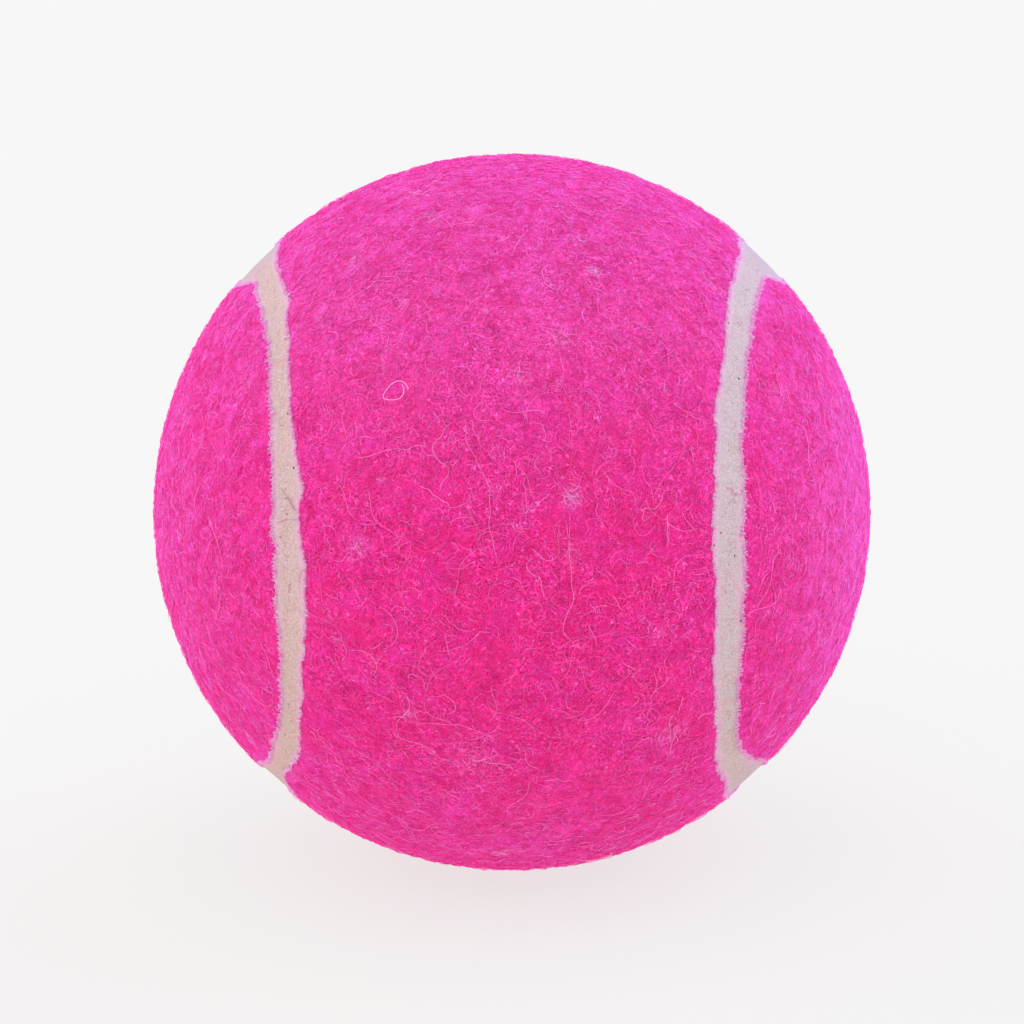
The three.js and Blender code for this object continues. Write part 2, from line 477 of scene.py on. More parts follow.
class SeamFinish(Finish):
    """Matte off-white rubber: tan stains and dark pits in its middle, lilac wool fluff along its sides, a
    painted light tint that is warmer on the left and greyer on the right, and painted shade where it widens
    at the outline.
    """

    name = "seam_rubber"
    # The cream on the left and the grey on the right are one rubber under painted light: a warm tint on the
    # left, a cool one on the right.
    warm_lit_cream: Colour = linear(182, 162, 152)
    cool_lit_grey: Colour = linear(176, 168, 168)
    fluff: Colour = linear(206, 158, 184)
    blush: Colour = linear(190, 134, 142)
    stain: Colour = linear(140, 106, 82)
    pit: Colour = linear(60, 42, 42)
    fleck: Colour = linear(212, 192, 200)
    # flare is painted shade: the greyer lilac of the seam seen side-on where it widens at the outline.
    flare: Colour = linear(166, 156, 170)
    bleed: Colour = linear(226, 100, 156)

    def draw(self, graph: Graph, shader: bpy.types.Node, vector: bpy.types.NodeSocket) -> None:
        """Mixes the painted light tint, then adds stains, pits, fluff, the painted shade where it widens and
        a fine grain.
        """
        side = graph.math("ABSOLUTE", graph.add("Attribute", attribute_name="side").outputs["Fac"])
        grain = graph.noise(vector, 0.22 * MM, 3.0, 0.4)
        patches = graph.noise(vector, 1.4 * MM, 3.0, 0.9)
        # Painted light tint: warmer cream towards the left, greyer towards the right, with slow noise for
        # random tone.
        across = graph.add("SeparateXYZ", {"Vector": vector}).outputs[0]
        drift = graph.noise(vector, 9.0 * MM, 1.0)
        painted_light_tint = graph.math("ADD", graph.span(across, -12.0 * MM, 12.0 * MM), drift)
        colour = graph.mix(graph.span(painted_light_tint, 0.5, 1.5), self.warm_lit_cream, self.cool_lit_grey)
        blushes = graph.span(graph.noise(vector, 0.9 * MM, 3.0, 1.7), 0.5, 0.8, 0.0, 0.6)
        colour = graph.mix(blushes, colour, self.blush)
        near = graph.span(side, 0.1, 0.7, 1.0, 0.0)
        stains = graph.product(graph.span(grain, 0.5, 0.68), graph.span(patches, 0.42, 0.6), near, 0.75)
        colour = graph.mix(stains, colour, self.stain)
        ragged = graph.math("ADD", side, graph.product(graph.math("SUBTRACT", patches, 0.5), 0.9))
        colour = graph.mix(graph.span(ragged, 0.5, 0.8, 0.0, 0.75), colour, self.fluff)
        spots = {"Vector": vector, "Spacing": 0.6 * MM, "Radius": 0.22}
        pits = self.group(graph, self.patterns.specks, spots)
        flecks = graph.span(graph.noise(vector, 0.16 * MM, 2.0, 2.1), 0.48, 0.66, 0.0, 0.6)
        colour = graph.mix(flecks, colour, self.fleck)
        # Painted shade: where the seam widens at the outline it turns greyer lilac, as seen side-on, and
        # shows fewer pits.
        wide = graph.add("Attribute", attribute_name="flare").outputs["Fac"]
        colour = graph.mix(graph.math("MULTIPLY", wide, 0.5), colour, self.flare)
        shown = graph.math("MULTIPLY", pits.outputs[0], graph.span(wide, 0.0, 1.0, 0.9, 0.3))
        colour = graph.mix(shown, colour, self.pit)
        colour = graph.mix(graph.span(side, 0.93, 1.0, 0.0, 0.85), colour, self.bleed)
        graph.feed(shader.inputs["Base Color"], colour)
        height = graph.math("SUBTRACT", grain, pits.outputs[0])
        graph.feed(shader.inputs["Normal"], self.relief(graph, height, 0.06 * MM))
        graph.feed(shader.inputs["Roughness"], graph.span(grain, 0.3, 0.7, 0.75, 0.95))
        shader.inputs["Specular IOR Level"].default_value = 0.2


class RubberFinish(Finish):
    """Dark core rubber, buffed so that it takes the cement."""

    name = "core_rubber"
    body: Colour = linear(58, 55, 53)
    dust: Colour = linear(112, 106, 100)

    def draw(self, graph: Graph, shader: bpy.types.Node, vector: bpy.types.NodeSocket) -> None:
        """Adds the buffing dust and its fine scratches."""
        grain = graph.noise(vector, 0.3 * MM, 4.0)
        spots = {"Vector": vector, "Spacing": 0.8 * MM, "Radius": 0.4}
        dust = self.group(graph, self.patterns.specks, spots)
        share = graph.math("MAXIMUM", graph.span(grain, 0.5, 0.8, 0.0, 0.6), dust.outputs[0])
        graph.feed(shader.inputs["Base Color"], graph.mix(share, self.body, self.dust))
        graph.feed(shader.inputs["Roughness"], graph.span(grain, 0.3, 0.7, 0.7, 0.95))
        graph.feed(shader.inputs["Normal"], self.relief(graph, grain, 0.08 * MM))


class CementFinish(Finish):
    """Dried rubber cement, tan with paler brush streaks."""

    name = "cement"
    body: Colour = linear(206, 186, 152)
    thin: Colour = linear(172, 148, 112)

    def draw(self, graph: Graph, shader: bpy.types.Node, vector: bpy.types.NodeSocket) -> None:
        """Adds streaks and a few bubbles."""
        streaks = graph.noise(vector, 1.4 * MM, 4.0)
        spots = {"Vector": vector, "Spacing": 1.2 * MM, "Radius": 0.2}
        bubbles = self.group(graph, self.patterns.specks, spots)
        colour = graph.mix(graph.span(streaks, 0.4, 0.65), self.thin, self.body)
        graph.feed(shader.inputs["Base Color"], colour)
        height = graph.math("ADD", streaks, bubbles.outputs[0])
        graph.feed(shader.inputs["Normal"], self.relief(graph, height, 0.1 * MM))
        graph.feed(shader.inputs["Roughness"], graph.span(streaks, 0.3, 0.7, 0.45, 0.7))


@dataclass(frozen=True)
class EdgeFlaw:
    """A place where the felt's edge bulges into the seam or shrinks away from it.

    Attributes:
        at: The place along the seam's line, as its parameter.
        side: The panel whose edge it is.
        reach: Half its length along the seam.
        shift: How far the edge moves away from the seam's middle.
    """

    at: float
    side: Panel
    reach: float
    shift: float


# The seam widens where it passes the outline of the ball in the photograph.
LIMB_FLARES = (
    EdgeFlaw(4.83, Panel.UPRIGHT, 0.12, 0.85 * MM), EdgeFlaw(4.84, Panel.LEVEL, 0.1, 0.9 * MM),
    EdgeFlaw(7.50, Panel.UPRIGHT, 0.08, 0.45 * MM), EdgeFlaw(7.45, Panel.LEVEL, 0.1, 0.75 * MM),
    EdgeFlaw(1.44, Panel.UPRIGHT, 0.13, 0.85 * MM), EdgeFlaw(1.45, Panel.LEVEL, 0.1, 0.9 * MM),
    EdgeFlaw(-1.2, Panel.UPRIGHT, 0.09, 0.5 * MM), EdgeFlaw(-1.12, Panel.LEVEL, 0.11, 0.85 * MM),
)
FLARE_TAILS = (
    EdgeFlaw(4.76, Panel.UPRIGHT, 0.2, 0.6 * MM), EdgeFlaw(4.76, Panel.LEVEL, 0.2, 0.65 * MM),
    EdgeFlaw(7.54, Panel.UPRIGHT, 0.18, 0.4 * MM), EdgeFlaw(7.52, Panel.LEVEL, 0.2, 0.45 * MM),
    EdgeFlaw(1.52, Panel.UPRIGHT, 0.22, 0.6 * MM), EdgeFlaw(1.52, Panel.LEVEL, 0.2, 0.7 * MM),
    EdgeFlaw(-1.25, Panel.UPRIGHT, 0.2, 0.4 * MM), EdgeFlaw(-1.2, Panel.LEVEL, 0.2, 0.5 * MM),
)
# Behind the outline it narrows slowly to its usual width.
FLARE_TAPERS = tuple(
    EdgeFlaw(at, side, 0.36, shift)
    for at, shift in ((4.4, 0.48 * MM), (7.92, 0.32 * MM), (1.89, 0.48 * MM), (-1.64, 0.32 * MM))
    for side in Panel
)
# The single bulges and hollows of the felt's edges on the front, to the left and to the right.
# These rows weren't chosen by hand: a separate script fitted their places, lengths and depths to the edges
# in the photograph.
LEFT_FLAWS = (
    EdgeFlaw(5.36, Panel.UPRIGHT, 0.05, -0.4 * MM), EdgeFlaw(5.6, Panel.UPRIGHT, 0.2, -0.42 * MM),
    EdgeFlaw(5.985, Panel.UPRIGHT, 0.05, 0.51 * MM), EdgeFlaw(6.285, Panel.UPRIGHT, 0.2, 0.39 * MM),
    EdgeFlaw(6.885, Panel.UPRIGHT, 0.08, -0.5 * MM), EdgeFlaw(7.275, Panel.UPRIGHT, 0.2, -1.1 * MM),
    EdgeFlaw(5.025, Panel.LEVEL, 0.05, -0.37 * MM), EdgeFlaw(5.5, Panel.LEVEL, 0.35, -0.38 * MM),
    EdgeFlaw(6.195, Panel.LEVEL, 0.05, -0.39 * MM), EdgeFlaw(6.735, Panel.LEVEL, 0.2, -0.77 * MM),
    EdgeFlaw(7.185, Panel.LEVEL, 0.12, 0.51 * MM), EdgeFlaw(5.265, Panel.UPRIGHT, 0.35, 0.28 * MM),
    EdgeFlaw(6.615, Panel.UPRIGHT, 0.35, 0.25 * MM), EdgeFlaw(7.335, Panel.UPRIGHT, 0.08, -0.3 * MM),
    EdgeFlaw(5.361, Panel.LEVEL, 0.05, 0.3 * MM),
)
RIGHT_FLAWS = (
    EdgeFlaw(-0.74, Panel.UPRIGHT, 0.35, 0.21 * MM), EdgeFlaw(-0.353, Panel.UPRIGHT, 0.05, 0.42 * MM),
    EdgeFlaw(-0.143, Panel.UPRIGHT, 0.12, -0.29 * MM), EdgeFlaw(0.187, Panel.UPRIGHT, 0.12, 0.33 * MM),
    EdgeFlaw(0.577, Panel.UPRIGHT, 0.08, 0.44 * MM), EdgeFlaw(1.177, Panel.UPRIGHT, 0.12, 0.46 * MM),
    EdgeFlaw(-0.673, Panel.LEVEL, 0.2, -0.79 * MM), EdgeFlaw(-0.403, Panel.LEVEL, 0.12, -0.21 * MM),
    EdgeFlaw(-0.073, Panel.LEVEL, 0.12, 0.44 * MM), EdgeFlaw(0.647, Panel.LEVEL, 0.2, -0.43 * MM),
    EdgeFlaw(1.247, Panel.LEVEL, 0.08, -0.61 * MM), EdgeFlaw(-0.856, Panel.UPRIGHT, 0.12, 0.23 * MM),
    EdgeFlaw(-0.436, Panel.UPRIGHT, 0.08, 0.25 * MM), EdgeFlaw(0.104, Panel.UPRIGHT, 0.35, 0.2 * MM),
    EdgeFlaw(0.584, Panel.UPRIGHT, 0.12, 0.18 * MM), EdgeFlaw(-0.883, Panel.LEVEL, 0.08, -0.35 * MM),
    EdgeFlaw(-0.643, Panel.LEVEL, 0.05, 0.3 * MM),
)


@dataclass(frozen=True)
class SeamLine:
    """The closed line along which the two felt panels meet, and how far each felt edge lies from it.

    Attributes:
        radius: The ball's radius.
        waist_half_angle: Half the angle across a panel's waist.
        lobe_swing: The swing that swells the lobes.
        half_width: Half the mean distance between the felt edges.
        evening: How far stations are moved so that they are evenly spaced.
        foot_stations: The points of the line among which the nearest one is looked for.
        batch: How many places are looked up at a time.
        waves: The waviness of an edge: how many waves it has all round, and their height.
        flaws: The single bulges and hollows.
    """

    radius: float
    waist_half_angle: float = math.radians(33.0)
    lobe_swing: float = math.radians(18.6)
    half_width: float = 1.5 * MM
    evening: float = 0.12
    foot_stations: int = 1600
    batch: int = 20000
    waves: tuple[tuple[int, float], ...] = (
        (23, 0.12 * MM), (41, 0.09 * MM), (77, 0.06 * MM),
        (143, 0.05 * MM), (267, 0.04 * MM), (471, 0.03 * MM),
    )
    flaws: tuple[EdgeFlaw, ...] = LIMB_FLARES + FLARE_TAILS + FLARE_TAPERS + LEFT_FLAWS + RIGHT_FLAWS

    @property
    def lobe_centre(self) -> float:
        """The angle from the waist to a lobe's centre, which is as far from its tip as from its flank."""
        return math.atan2(math.cos(self.waist_half_angle), math.sin(self.waist_half_angle) - math.sqrt(0.5))

    def directions(self, t: Array) -> Array:
        """Returns the unit vectors of the line at the parameters t, which run to 4 pi."""
        polar = np.pi / 2 - (np.pi / 2 - self.waist_half_angle) * np.cos(t)
        around = t / 2 + self.lobe_swing * np.sin(2 * t)
        return np.stack([np.sin(polar) * np.cos(around), -np.cos(polar), np.sin(polar) * np.sin(around)], -1)

    def sideways(self, t: Array) -> Array:
        """Returns the unit vectors across the line, towards the upright panel."""
        step = 1e-4
        along = self.directions(t + step) - self.directions(t - step)
        return unit(np.cross(self.directions(t), along))

    def beside(self, t: Array, distance: Array | float) -> Array:
        """Returns the unit vectors a distance beside the line, positive towards the upright panel."""
        angle = np.asarray(distance)[..., None] / self.radius
        return self.directions(t) * np.cos(angle) + self.sideways(t) * np.sin(angle)

    def edge(self, t: Array, panel: Panel) -> Array:
        """Returns how far the panel's edge lies from the line."""
        distance = np.full_like(t, self.half_width)
        for count, height in self.waves:
            distance += height * np.sin(count * t / 2 + 1.7 * count + panel.value * 0.9 * count)
        for flaw in self.flaws:
            if flaw.side is panel:
                gap = (t - flaw.at + 2 * np.pi) % (4 * np.pi) - 2 * np.pi
                distance += flaw.shift * np.exp(-((gap / flaw.reach) ** 2))
        return distance

    def stations(self, count: int) -> Array:
        """Returns parameters that are about evenly spaced along the line."""
        turn = 4 * np.pi * np.arange(count) / count
        return turn + self.evening * np.sin(2 * turn)

    def locate(self, directions: Array) -> tuple[Array, Array]:
        """Finds the nearest points of the line.

        Args:
            directions: Unit vectors.

        Returns:
            The parameter of each one's nearest point, and the distance to it, positive in the upright panel.
        """
        t = self.stations(self.foot_stations)
        line = self.directions(t).astype(np.float32)
        across = self.sideways(t)
        nearest = np.empty(len(directions), int)
        for start in range(0, len(directions), self.batch):
            part = directions[start : start + self.batch].astype(np.float32)
            nearest[start : start + self.batch] = np.argmax(part @ line.T, axis=1)
        offset = np.einsum("ij,ij->i", directions, across[nearest])
        return t[nearest], np.arcsin(np.clip(offset, -1, 1)) * self.radius

    def middle_of(self, directions: Array, panel: Panel) -> tuple[Array, Array]:
        """Finds the places across from directions on a panel's middle line.

        Args:
            directions: Unit vectors in the panel.
            panel: The panel.

        Returns:
            The unit vectors on the middle line, and the angle of each one's foot from the waist.
        """
        x, y, z = np.moveaxis(directions, -1, 0)
        foot = np.arctan2(z, -y) if panel is Panel.UPRIGHT else np.arctan2(x, y)
        angle = np.clip(foot, -self.lobe_centre, self.lobe_centre)
        zero = np.zeros_like(angle)
        if panel is Panel.UPRIGHT:
            return np.stack([zero, -np.cos(angle), np.sin(angle)], -1), foot
        return np.stack([np.sin(angle), np.cos(angle), zero], -1), foot


def place(around: float, up: float) -> Array:
    """Returns the unit vector at angles in degrees, right and up from the front waist's middle."""
    side, rise = math.radians(around), math.radians(up)
    return np.array([math.sin(side) * math.cos(rise), -math.cos(side) * math.cos(rise), math.sin(rise)])


@dataclass(frozen=True)
class Tuft:
    """A small pale knot of fibres in the felt.

    Attributes:
        around: Its angle to the right of the front waist's middle, in degrees.
        up: Its angle above it, in degrees.
        breadth: Its half breadth.
        strength: How pale it is, from 0 to 1.
    """

    around: float
    up: float
    breadth: float
    strength: float


@dataclass(frozen=True)
class TuftField:
    """All the tufts of the felt: those seen from the front, and others like them scattered elsewhere.

    Attributes:
        radius: The ball's radius.
        seen: The tufts on the front.
        scattered: How many others there are.
        clear: The angle round the front's middle in which no other lies.
        breadths: The half breadths of the others, in millimetres.
        strengths: Their strengths.
        seed: The seed of their places.
    """

    radius: float
    seen: tuple[Tuft, ...] = (
        Tuft(18.1, 45.9, 0.7 * MM, 0.9), Tuft(-3.8, 39.0, 0.3 * MM, 0.9), Tuft(9.5, 34.3, 0.9 * MM, 0.6),
        Tuft(2.2, 29.3, 1.1 * MM, 0.4), Tuft(6.9, 44.6, 1.6 * MM, 0.35), Tuft(18.1, 51.8, 1.2 * MM, 0.4),
        Tuft(-9.8, 60.6, 1.5 * MM, 0.3), Tuft(-19.6, 40.5, 0.6 * MM, 0.5), Tuft(25.6, 26.2, 0.25 * MM, 0.8),
        Tuft(-18.0, 14.0, 0.3 * MM, 0.9), Tuft(9.1, 11.6, 0.8 * MM, 0.9), Tuft(-21.2, 4.4, 0.9 * MM, 0.7),
        Tuft(2.2, 10.1, 0.5 * MM, 0.4), Tuft(-15.0, -20.2, 0.5 * MM, 0.9), Tuft(-5.6, -28.2, 1.5 * MM, 0.35),
        Tuft(27.1, -25.3, 1.8 * MM, 0.35), Tuft(21.6, -8.1, 0.6 * MM, 0.4), Tuft(8.9, 4.0, 1.3 * MM, 0.3),
    )
    scattered: int = 150
    clear: float = math.radians(48)
    breadths: tuple[float, float] = (0.25, 1.5)
    strengths: tuple[float, float] = (0.2, 0.65)
    seed: int = 5

    def gather(self) -> tuple[Array, Array, Array]:
        """Returns the direction, half breadth and strength of every tuft."""
        rng = np.random.default_rng(self.seed)
        others = unit(rng.normal(size=(self.scattered, 3)))
        others = others[-others[:, 1] < math.cos(self.clear)]
        places = np.concatenate([[place(tuft.around, tuft.up) for tuft in self.seen], others])
        breadths = [tuft.breadth for tuft in self.seen]
        breadths += list(rng.uniform(*self.breadths, len(others)) * MM)
        strengths = [tuft.strength for tuft in self.seen]
        strengths += list(rng.uniform(*self.strengths, len(others)))
        return places, np.array(breadths), np.array(strengths)

    def at(self, directions: Array) -> Array:
        """Returns how pale the tufts make the felt in each direction."""
        paleness = np.zeros(len(directions))
        for middle, breadth, strength in zip(*self.gather()):
            off = np.linalg.norm(directions - middle, axis=1) * self.radius / breadth
            paleness = np.maximum(paleness, strength * np.exp(-off * off))
        return paleness


def great_circle(start: Array, end: Array, share: Array) -> Array:
    """Returns unit vectors a share of the way along the great circles from start to end."""
    angle = np.arccos(np.clip(np.sum(start * end, -1, keepdims=True), -1, 1))
    return (np.sin((1 - share) * angle) * start + np.sin(share * angle) * end) / np.sin(angle)


def deselect_all() -> None:
    """Leaves nothing selected, in object mode."""
    if bpy.context.object and bpy.context.object.mode != "OBJECT":
        bpy.ops.object.mode_set(mode="OBJECT")
    bpy.ops.object.select_all(action="DESELECT")


def corners_of(mesh: bpy.types.Mesh) -> Array:
    """Returns the places of a mesh's vertices."""
    places = np.empty(len(mesh.vertices) * 3)
    mesh.vertices.foreach_get("co", places)
    return places.reshape(-1, 3)


def mark(mesh: bpy.types.Mesh, name: str, values: Array) -> None:
    """Stores a value for each vertex of a mesh, as an attribute that the finishes read."""
    layer = mesh.attributes.new(name, "FLOAT", "POINT")
    layer.data.foreach_set("value", values.astype(np.float32).ravel())


def wrapped_grid(name: str, points: Array, closed_section: bool) -> bpy.types.Object:
    """Models a grid and wraps it round the ball.

    Args:
        name: The new object's name.
        points: The place of each grid corner: columns round the seam's loop, rows across its section.
        closed_section: Whether a column's last point joins its first.

    Returns:
        The object, with its doubles merged and its faces outwards.
    """
    looped = np.concatenate([points, points[:1]])
    if closed_section:
        looped = np.concatenate([looped, looped[:, :1]], axis=1)
    columns, rows = looped.shape[0] - 1, looped.shape[1] - 1
    deselect_all()
    bpy.ops.mesh.primitive_grid_add(x_subdivisions=columns, y_subdivisions=rows, size=1.0, location=(0, 0, 0))
    made = bpy.context.object
    made.name = made.data.name = name
    corners = corners_of(made.data)
    column = np.rint((corners[:, 0] + 0.5) * columns).astype(int)
    row = np.rint((corners[:, 1] + 0.5) * rows).astype(int)
    made.data.vertices.foreach_set("co", looped[column, row].ravel())
    bpy.ops.object.mode_set(mode="EDIT")
    bpy.ops.mesh.select_all(action="SELECT")
    bpy.ops.mesh.remove_doubles(threshold=MERGE_DISTANCE)
    bpy.ops.mesh.normals_make_consistent(inside=False)
    bpy.ops.object.mode_set(mode="OBJECT")
    bpy.ops.object.shade_smooth()
    return made


def roughen(made: bpy.types.Object, name: str, size: float, height: float, group: str = "") -> None:
    """Raises and lowers a piece by cloudy noise.

    Args:
        made: The piece.
        name: The noise's name.
        size: The breadth of its features.
        height: The distance from its lowest to its highest place.
        group: The vertex group that limits it.
    """
    texture = bpy.data.textures.new(name, "CLOUDS")
    texture.noise_scale = size
    texture.noise_depth = 2
    modifier = made.modifiers.new(name, "DISPLACE")
    modifier.texture = texture
    modifier.texture_coords = "LOCAL"
    modifier.strength = height
    modifier.mid_level = 0.5
    modifier.vertex_group = group
    deselect_all()
    bpy.context.view_layer.objects.active = made
    made.select_set(True)
    bpy.ops.object.modifier_apply(modifier=name)


def ride(
    made: bpy.types.Object, material: bpy.types.Material, replaced: Sequence[str] = ()
) -> None:
    """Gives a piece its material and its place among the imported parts.

    Args:
        made: The piece.
        material: The material.
        replaced: The nodes that the piece stands for.
    """
    made.data.materials.clear()
    made.data.materials.append(material)
    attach(made, "root")
    if replaced:
        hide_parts(*replaced)
    log.info("%s: %d vertices, %d faces", made.name, len(made.data.vertices), len(made.data.polygons))


@dataclass
class FeltPanel:
    """One dumbbell-shaped panel of felt, with rounded edges and an uneven face.

    Attributes:
        panel: Which of the two it is.
        node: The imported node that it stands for.
        line: The seam's line.
        outer: The radius of its face, under the nap.
        inner: The radius of its back.
        floor: The height of the floor, on which it is pressed flat.
        tufts: The pale tufts.
        edge_radius: The rounding of its edge.
        columns: The facets round its outline.
        face_rows: The facets from its edge to its middle.
        edge_rows: The facets round its edge.
        back_rows: The facets across its back, from its edge to its middle.
        ray_start: How far over the face a ray starts that measures its height.
        ray_length: The length of that ray.
        lumps: The name, breadth and height of each unevenness of its face.
    """

    panel: Panel
    node: str
    line: SeamLine
    outer: float
    inner: float
    floor: float
    tufts: TuftField
    edge_radius: float = 0.1 * MM
    columns: int = 900
    face_rows: int = 76
    edge_rows: int = 4
    back_rows: int = 4
    ray_start: float = 5 * MM
    ray_length: float = 6.5 * MM
    lumps: tuple[tuple[str, float, float], ...] = (
        ("broad_lumps", 2.8 * MM, 0.08 * MM),
        ("close_lumps", 1.0 * MM, 0.05 * MM),
        ("fine_lumps", 0.45 * MM, 0.04 * MM),
    )
    object: bpy.types.Object = field(init=False)
    tree: BVHTree = field(init=False)

    def build(self) -> "FeltPanel":
        """Models the panel and roughens its face.

        Returns:
            The panel itself.
        """
        t = self.line.stations(self.columns)
        edge = self.line.edge(t, self.panel)
        side = self.panel.value
        foot = self.line.beside(t, side * edge)
        shoulder = self.line.beside(t, side * (edge + self.edge_radius))
        middle, _ = self.line.middle_of(self.line.beside(t, side * self.line.half_width), self.panel)
        rows = [
            great_circle(foot, middle, i / self.back_rows) * self.inner for i in range(self.back_rows, -1, -1)
        ]
        for i in range(self.edge_rows):
            turn = i / self.edge_rows * math.pi / 2
            inward = edge + self.edge_radius * (1 - math.cos(turn))
            radius = self.outer - self.edge_radius * (1 - math.sin(turn))
            rows.append(self.line.beside(t, side * inward) * radius)
        for i in range(self.face_rows + 1):
            rows.append(great_circle(shoulder, middle, i / self.face_rows) * self.outer)
        self.object = wrapped_grid(self.node + "_cloth", np.stack(rows, axis=1), False)
        self._weigh_face()
        for name, size, height in self.lumps:
            roughen(self.object, name, size, height, "face")
        self._press_flat()
        self._mark_tufts()
        self.tree = BVHTree.FromObject(self.object, bpy.context.evaluated_depsgraph_get())
        return self

    def _press_flat(self) -> None:
        """Flattens the panel where the ball stands on it."""
        for vertex in self.object.data.vertices:
            vertex.co.z = max(vertex.co.z, self.floor + FLOOR_GAP)

    def _mark_tufts(self) -> None:
        """Stores how pale the tufts make each place, in the attribute called tuft."""
        mesh = self.object.data
        mark(mesh, "tuft", self.tufts.at(unit(corners_of(mesh))))

    def _weigh_face(self) -> None:
        """Makes the vertex group that keeps the lumps on the face and off the back and the edge's foot."""
        group = self.object.vertex_groups.new(name="face")
        low = self.outer - self.edge_radius
        for vertex in self.object.data.vertices:
            weight = (vertex.co.length - low) / self.edge_radius
            if weight > 0:
                group.add([vertex.index], min(1.0, weight), "REPLACE")

    def heights(self, directions: Array) -> Array:
        """Returns the radius of the panel's face in each direction, or its plain radius where it has none."""
        start = self.outer + self.ray_start
        radii = np.full(len(directions), self.outer)
        for i, direction in enumerate(directions):
            ray = Vector(direction)
            hit = self.tree.ray_cast(ray * start, -ray, self.ray_length)[0]
            if hit is not None:
                radii[i] = hit.length
        return radii

    def dress(self, finish: Finish) -> None:
        """Gives the panel its finish and its place."""
        ride(self.object, finish.material(), (self.node,))


@dataclass
class SeamStrip:
    """The loop of rubber between the felt edges, which creeps up their sides.

    Attributes:
        line: The seam's line.
        face: The radius of its face, halfway from the middle to the sides.
        foot: The radius of its underside.
        clearance: The gap to the felt edges.
        dish: How much lower its middle lies.
        lip: How far its borders creep up the felt.
        flare_fill: How much fuller it is where it widens.
        flare_from: The width past which it counts as widened.
        flare_rise: How much wider it is where it counts as fully widened.
        columns: The facets round its loop.
        face_rows: The facets across its face.
    """

    line: SeamLine
    face: float
    foot: float
    clearance: float = 0.02 * MM
    dish: float = 0.08 * MM
    lip: float = 0.09 * MM
    flare_fill: float = 0.16 * MM
    flare_from: float = 3.3 * MM
    flare_rise: float = 2.8 * MM
    columns: int = 1300
    face_rows: int = 26
    object: bpy.types.Object = field(init=False)

    def build(self) -> "SeamStrip":
        """Models the strip and roughens its face.

        Returns:
            The strip itself.
        """
        t = self.line.stations(self.columns)
        right = self.line.edge(t, Panel.UPRIGHT) - self.clearance
        left = -(self.line.edge(t, Panel.LEVEL) - self.clearance)
        rows = [self.line.beside(t, right) * self.foot, self.line.beside(t, (left + right) / 2) * self.foot,
                self.line.beside(t, left) * self.foot]
        fill = self.flare_fill * np.clip((right - left) / (2 * self.line.half_width) - 1.1, 0, 1)
        shares = [0.0, 0.0, 0.0]
        for i in range(self.face_rows + 1):
            share = 2 * i / self.face_rows - 1
            rise = self.lip * max(0.0, (abs(share) - 0.5) / 0.5) ** 2 - self.dish * (1 - share * share)
            across = left + (right - left) * (share + 1) / 2
            rows.append(self.line.beside(t, across) * (self.face + rise + fill * (1 - share**4))[:, None])
            shares.append(share)
        self.object = wrapped_grid("seam_strip", np.stack(rows, axis=1), True)
        self._mark_sides()
        group = self.object.vertex_groups.new(name="face")
        shown = [v.index for v in self.object.data.vertices if v.co.length > self.face - 0.3 * MM]
        group.add(shown, 1.0, "REPLACE")
        roughen(self.object, "seam_waves", 1.6 * MM, 0.08 * MM, "face")
        roughen(self.object, "seam_grain", 0.4 * MM, 0.06 * MM, "face")
        return self

    def _mark_sides(self) -> None:
        """Stores how far across the seam a place lies, as side, and how much it widens, as flare."""
        mesh = self.object.data
        t, off = self.line.locate(unit(corners_of(mesh)))
        upright, level = self.line.edge(t, Panel.UPRIGHT), self.line.edge(t, Panel.LEVEL)
        mark(mesh, "side", off / np.where(off > 0, upright, level))
        mark(mesh, "flare", np.clip((upright + level - self.flare_from) / self.flare_rise, 0, 1))

    def dress(self, finish: Finish) -> None:
        """Gives the strip its finish and its place."""
        ride(self.object, finish.material(), ("seam_rubber",))


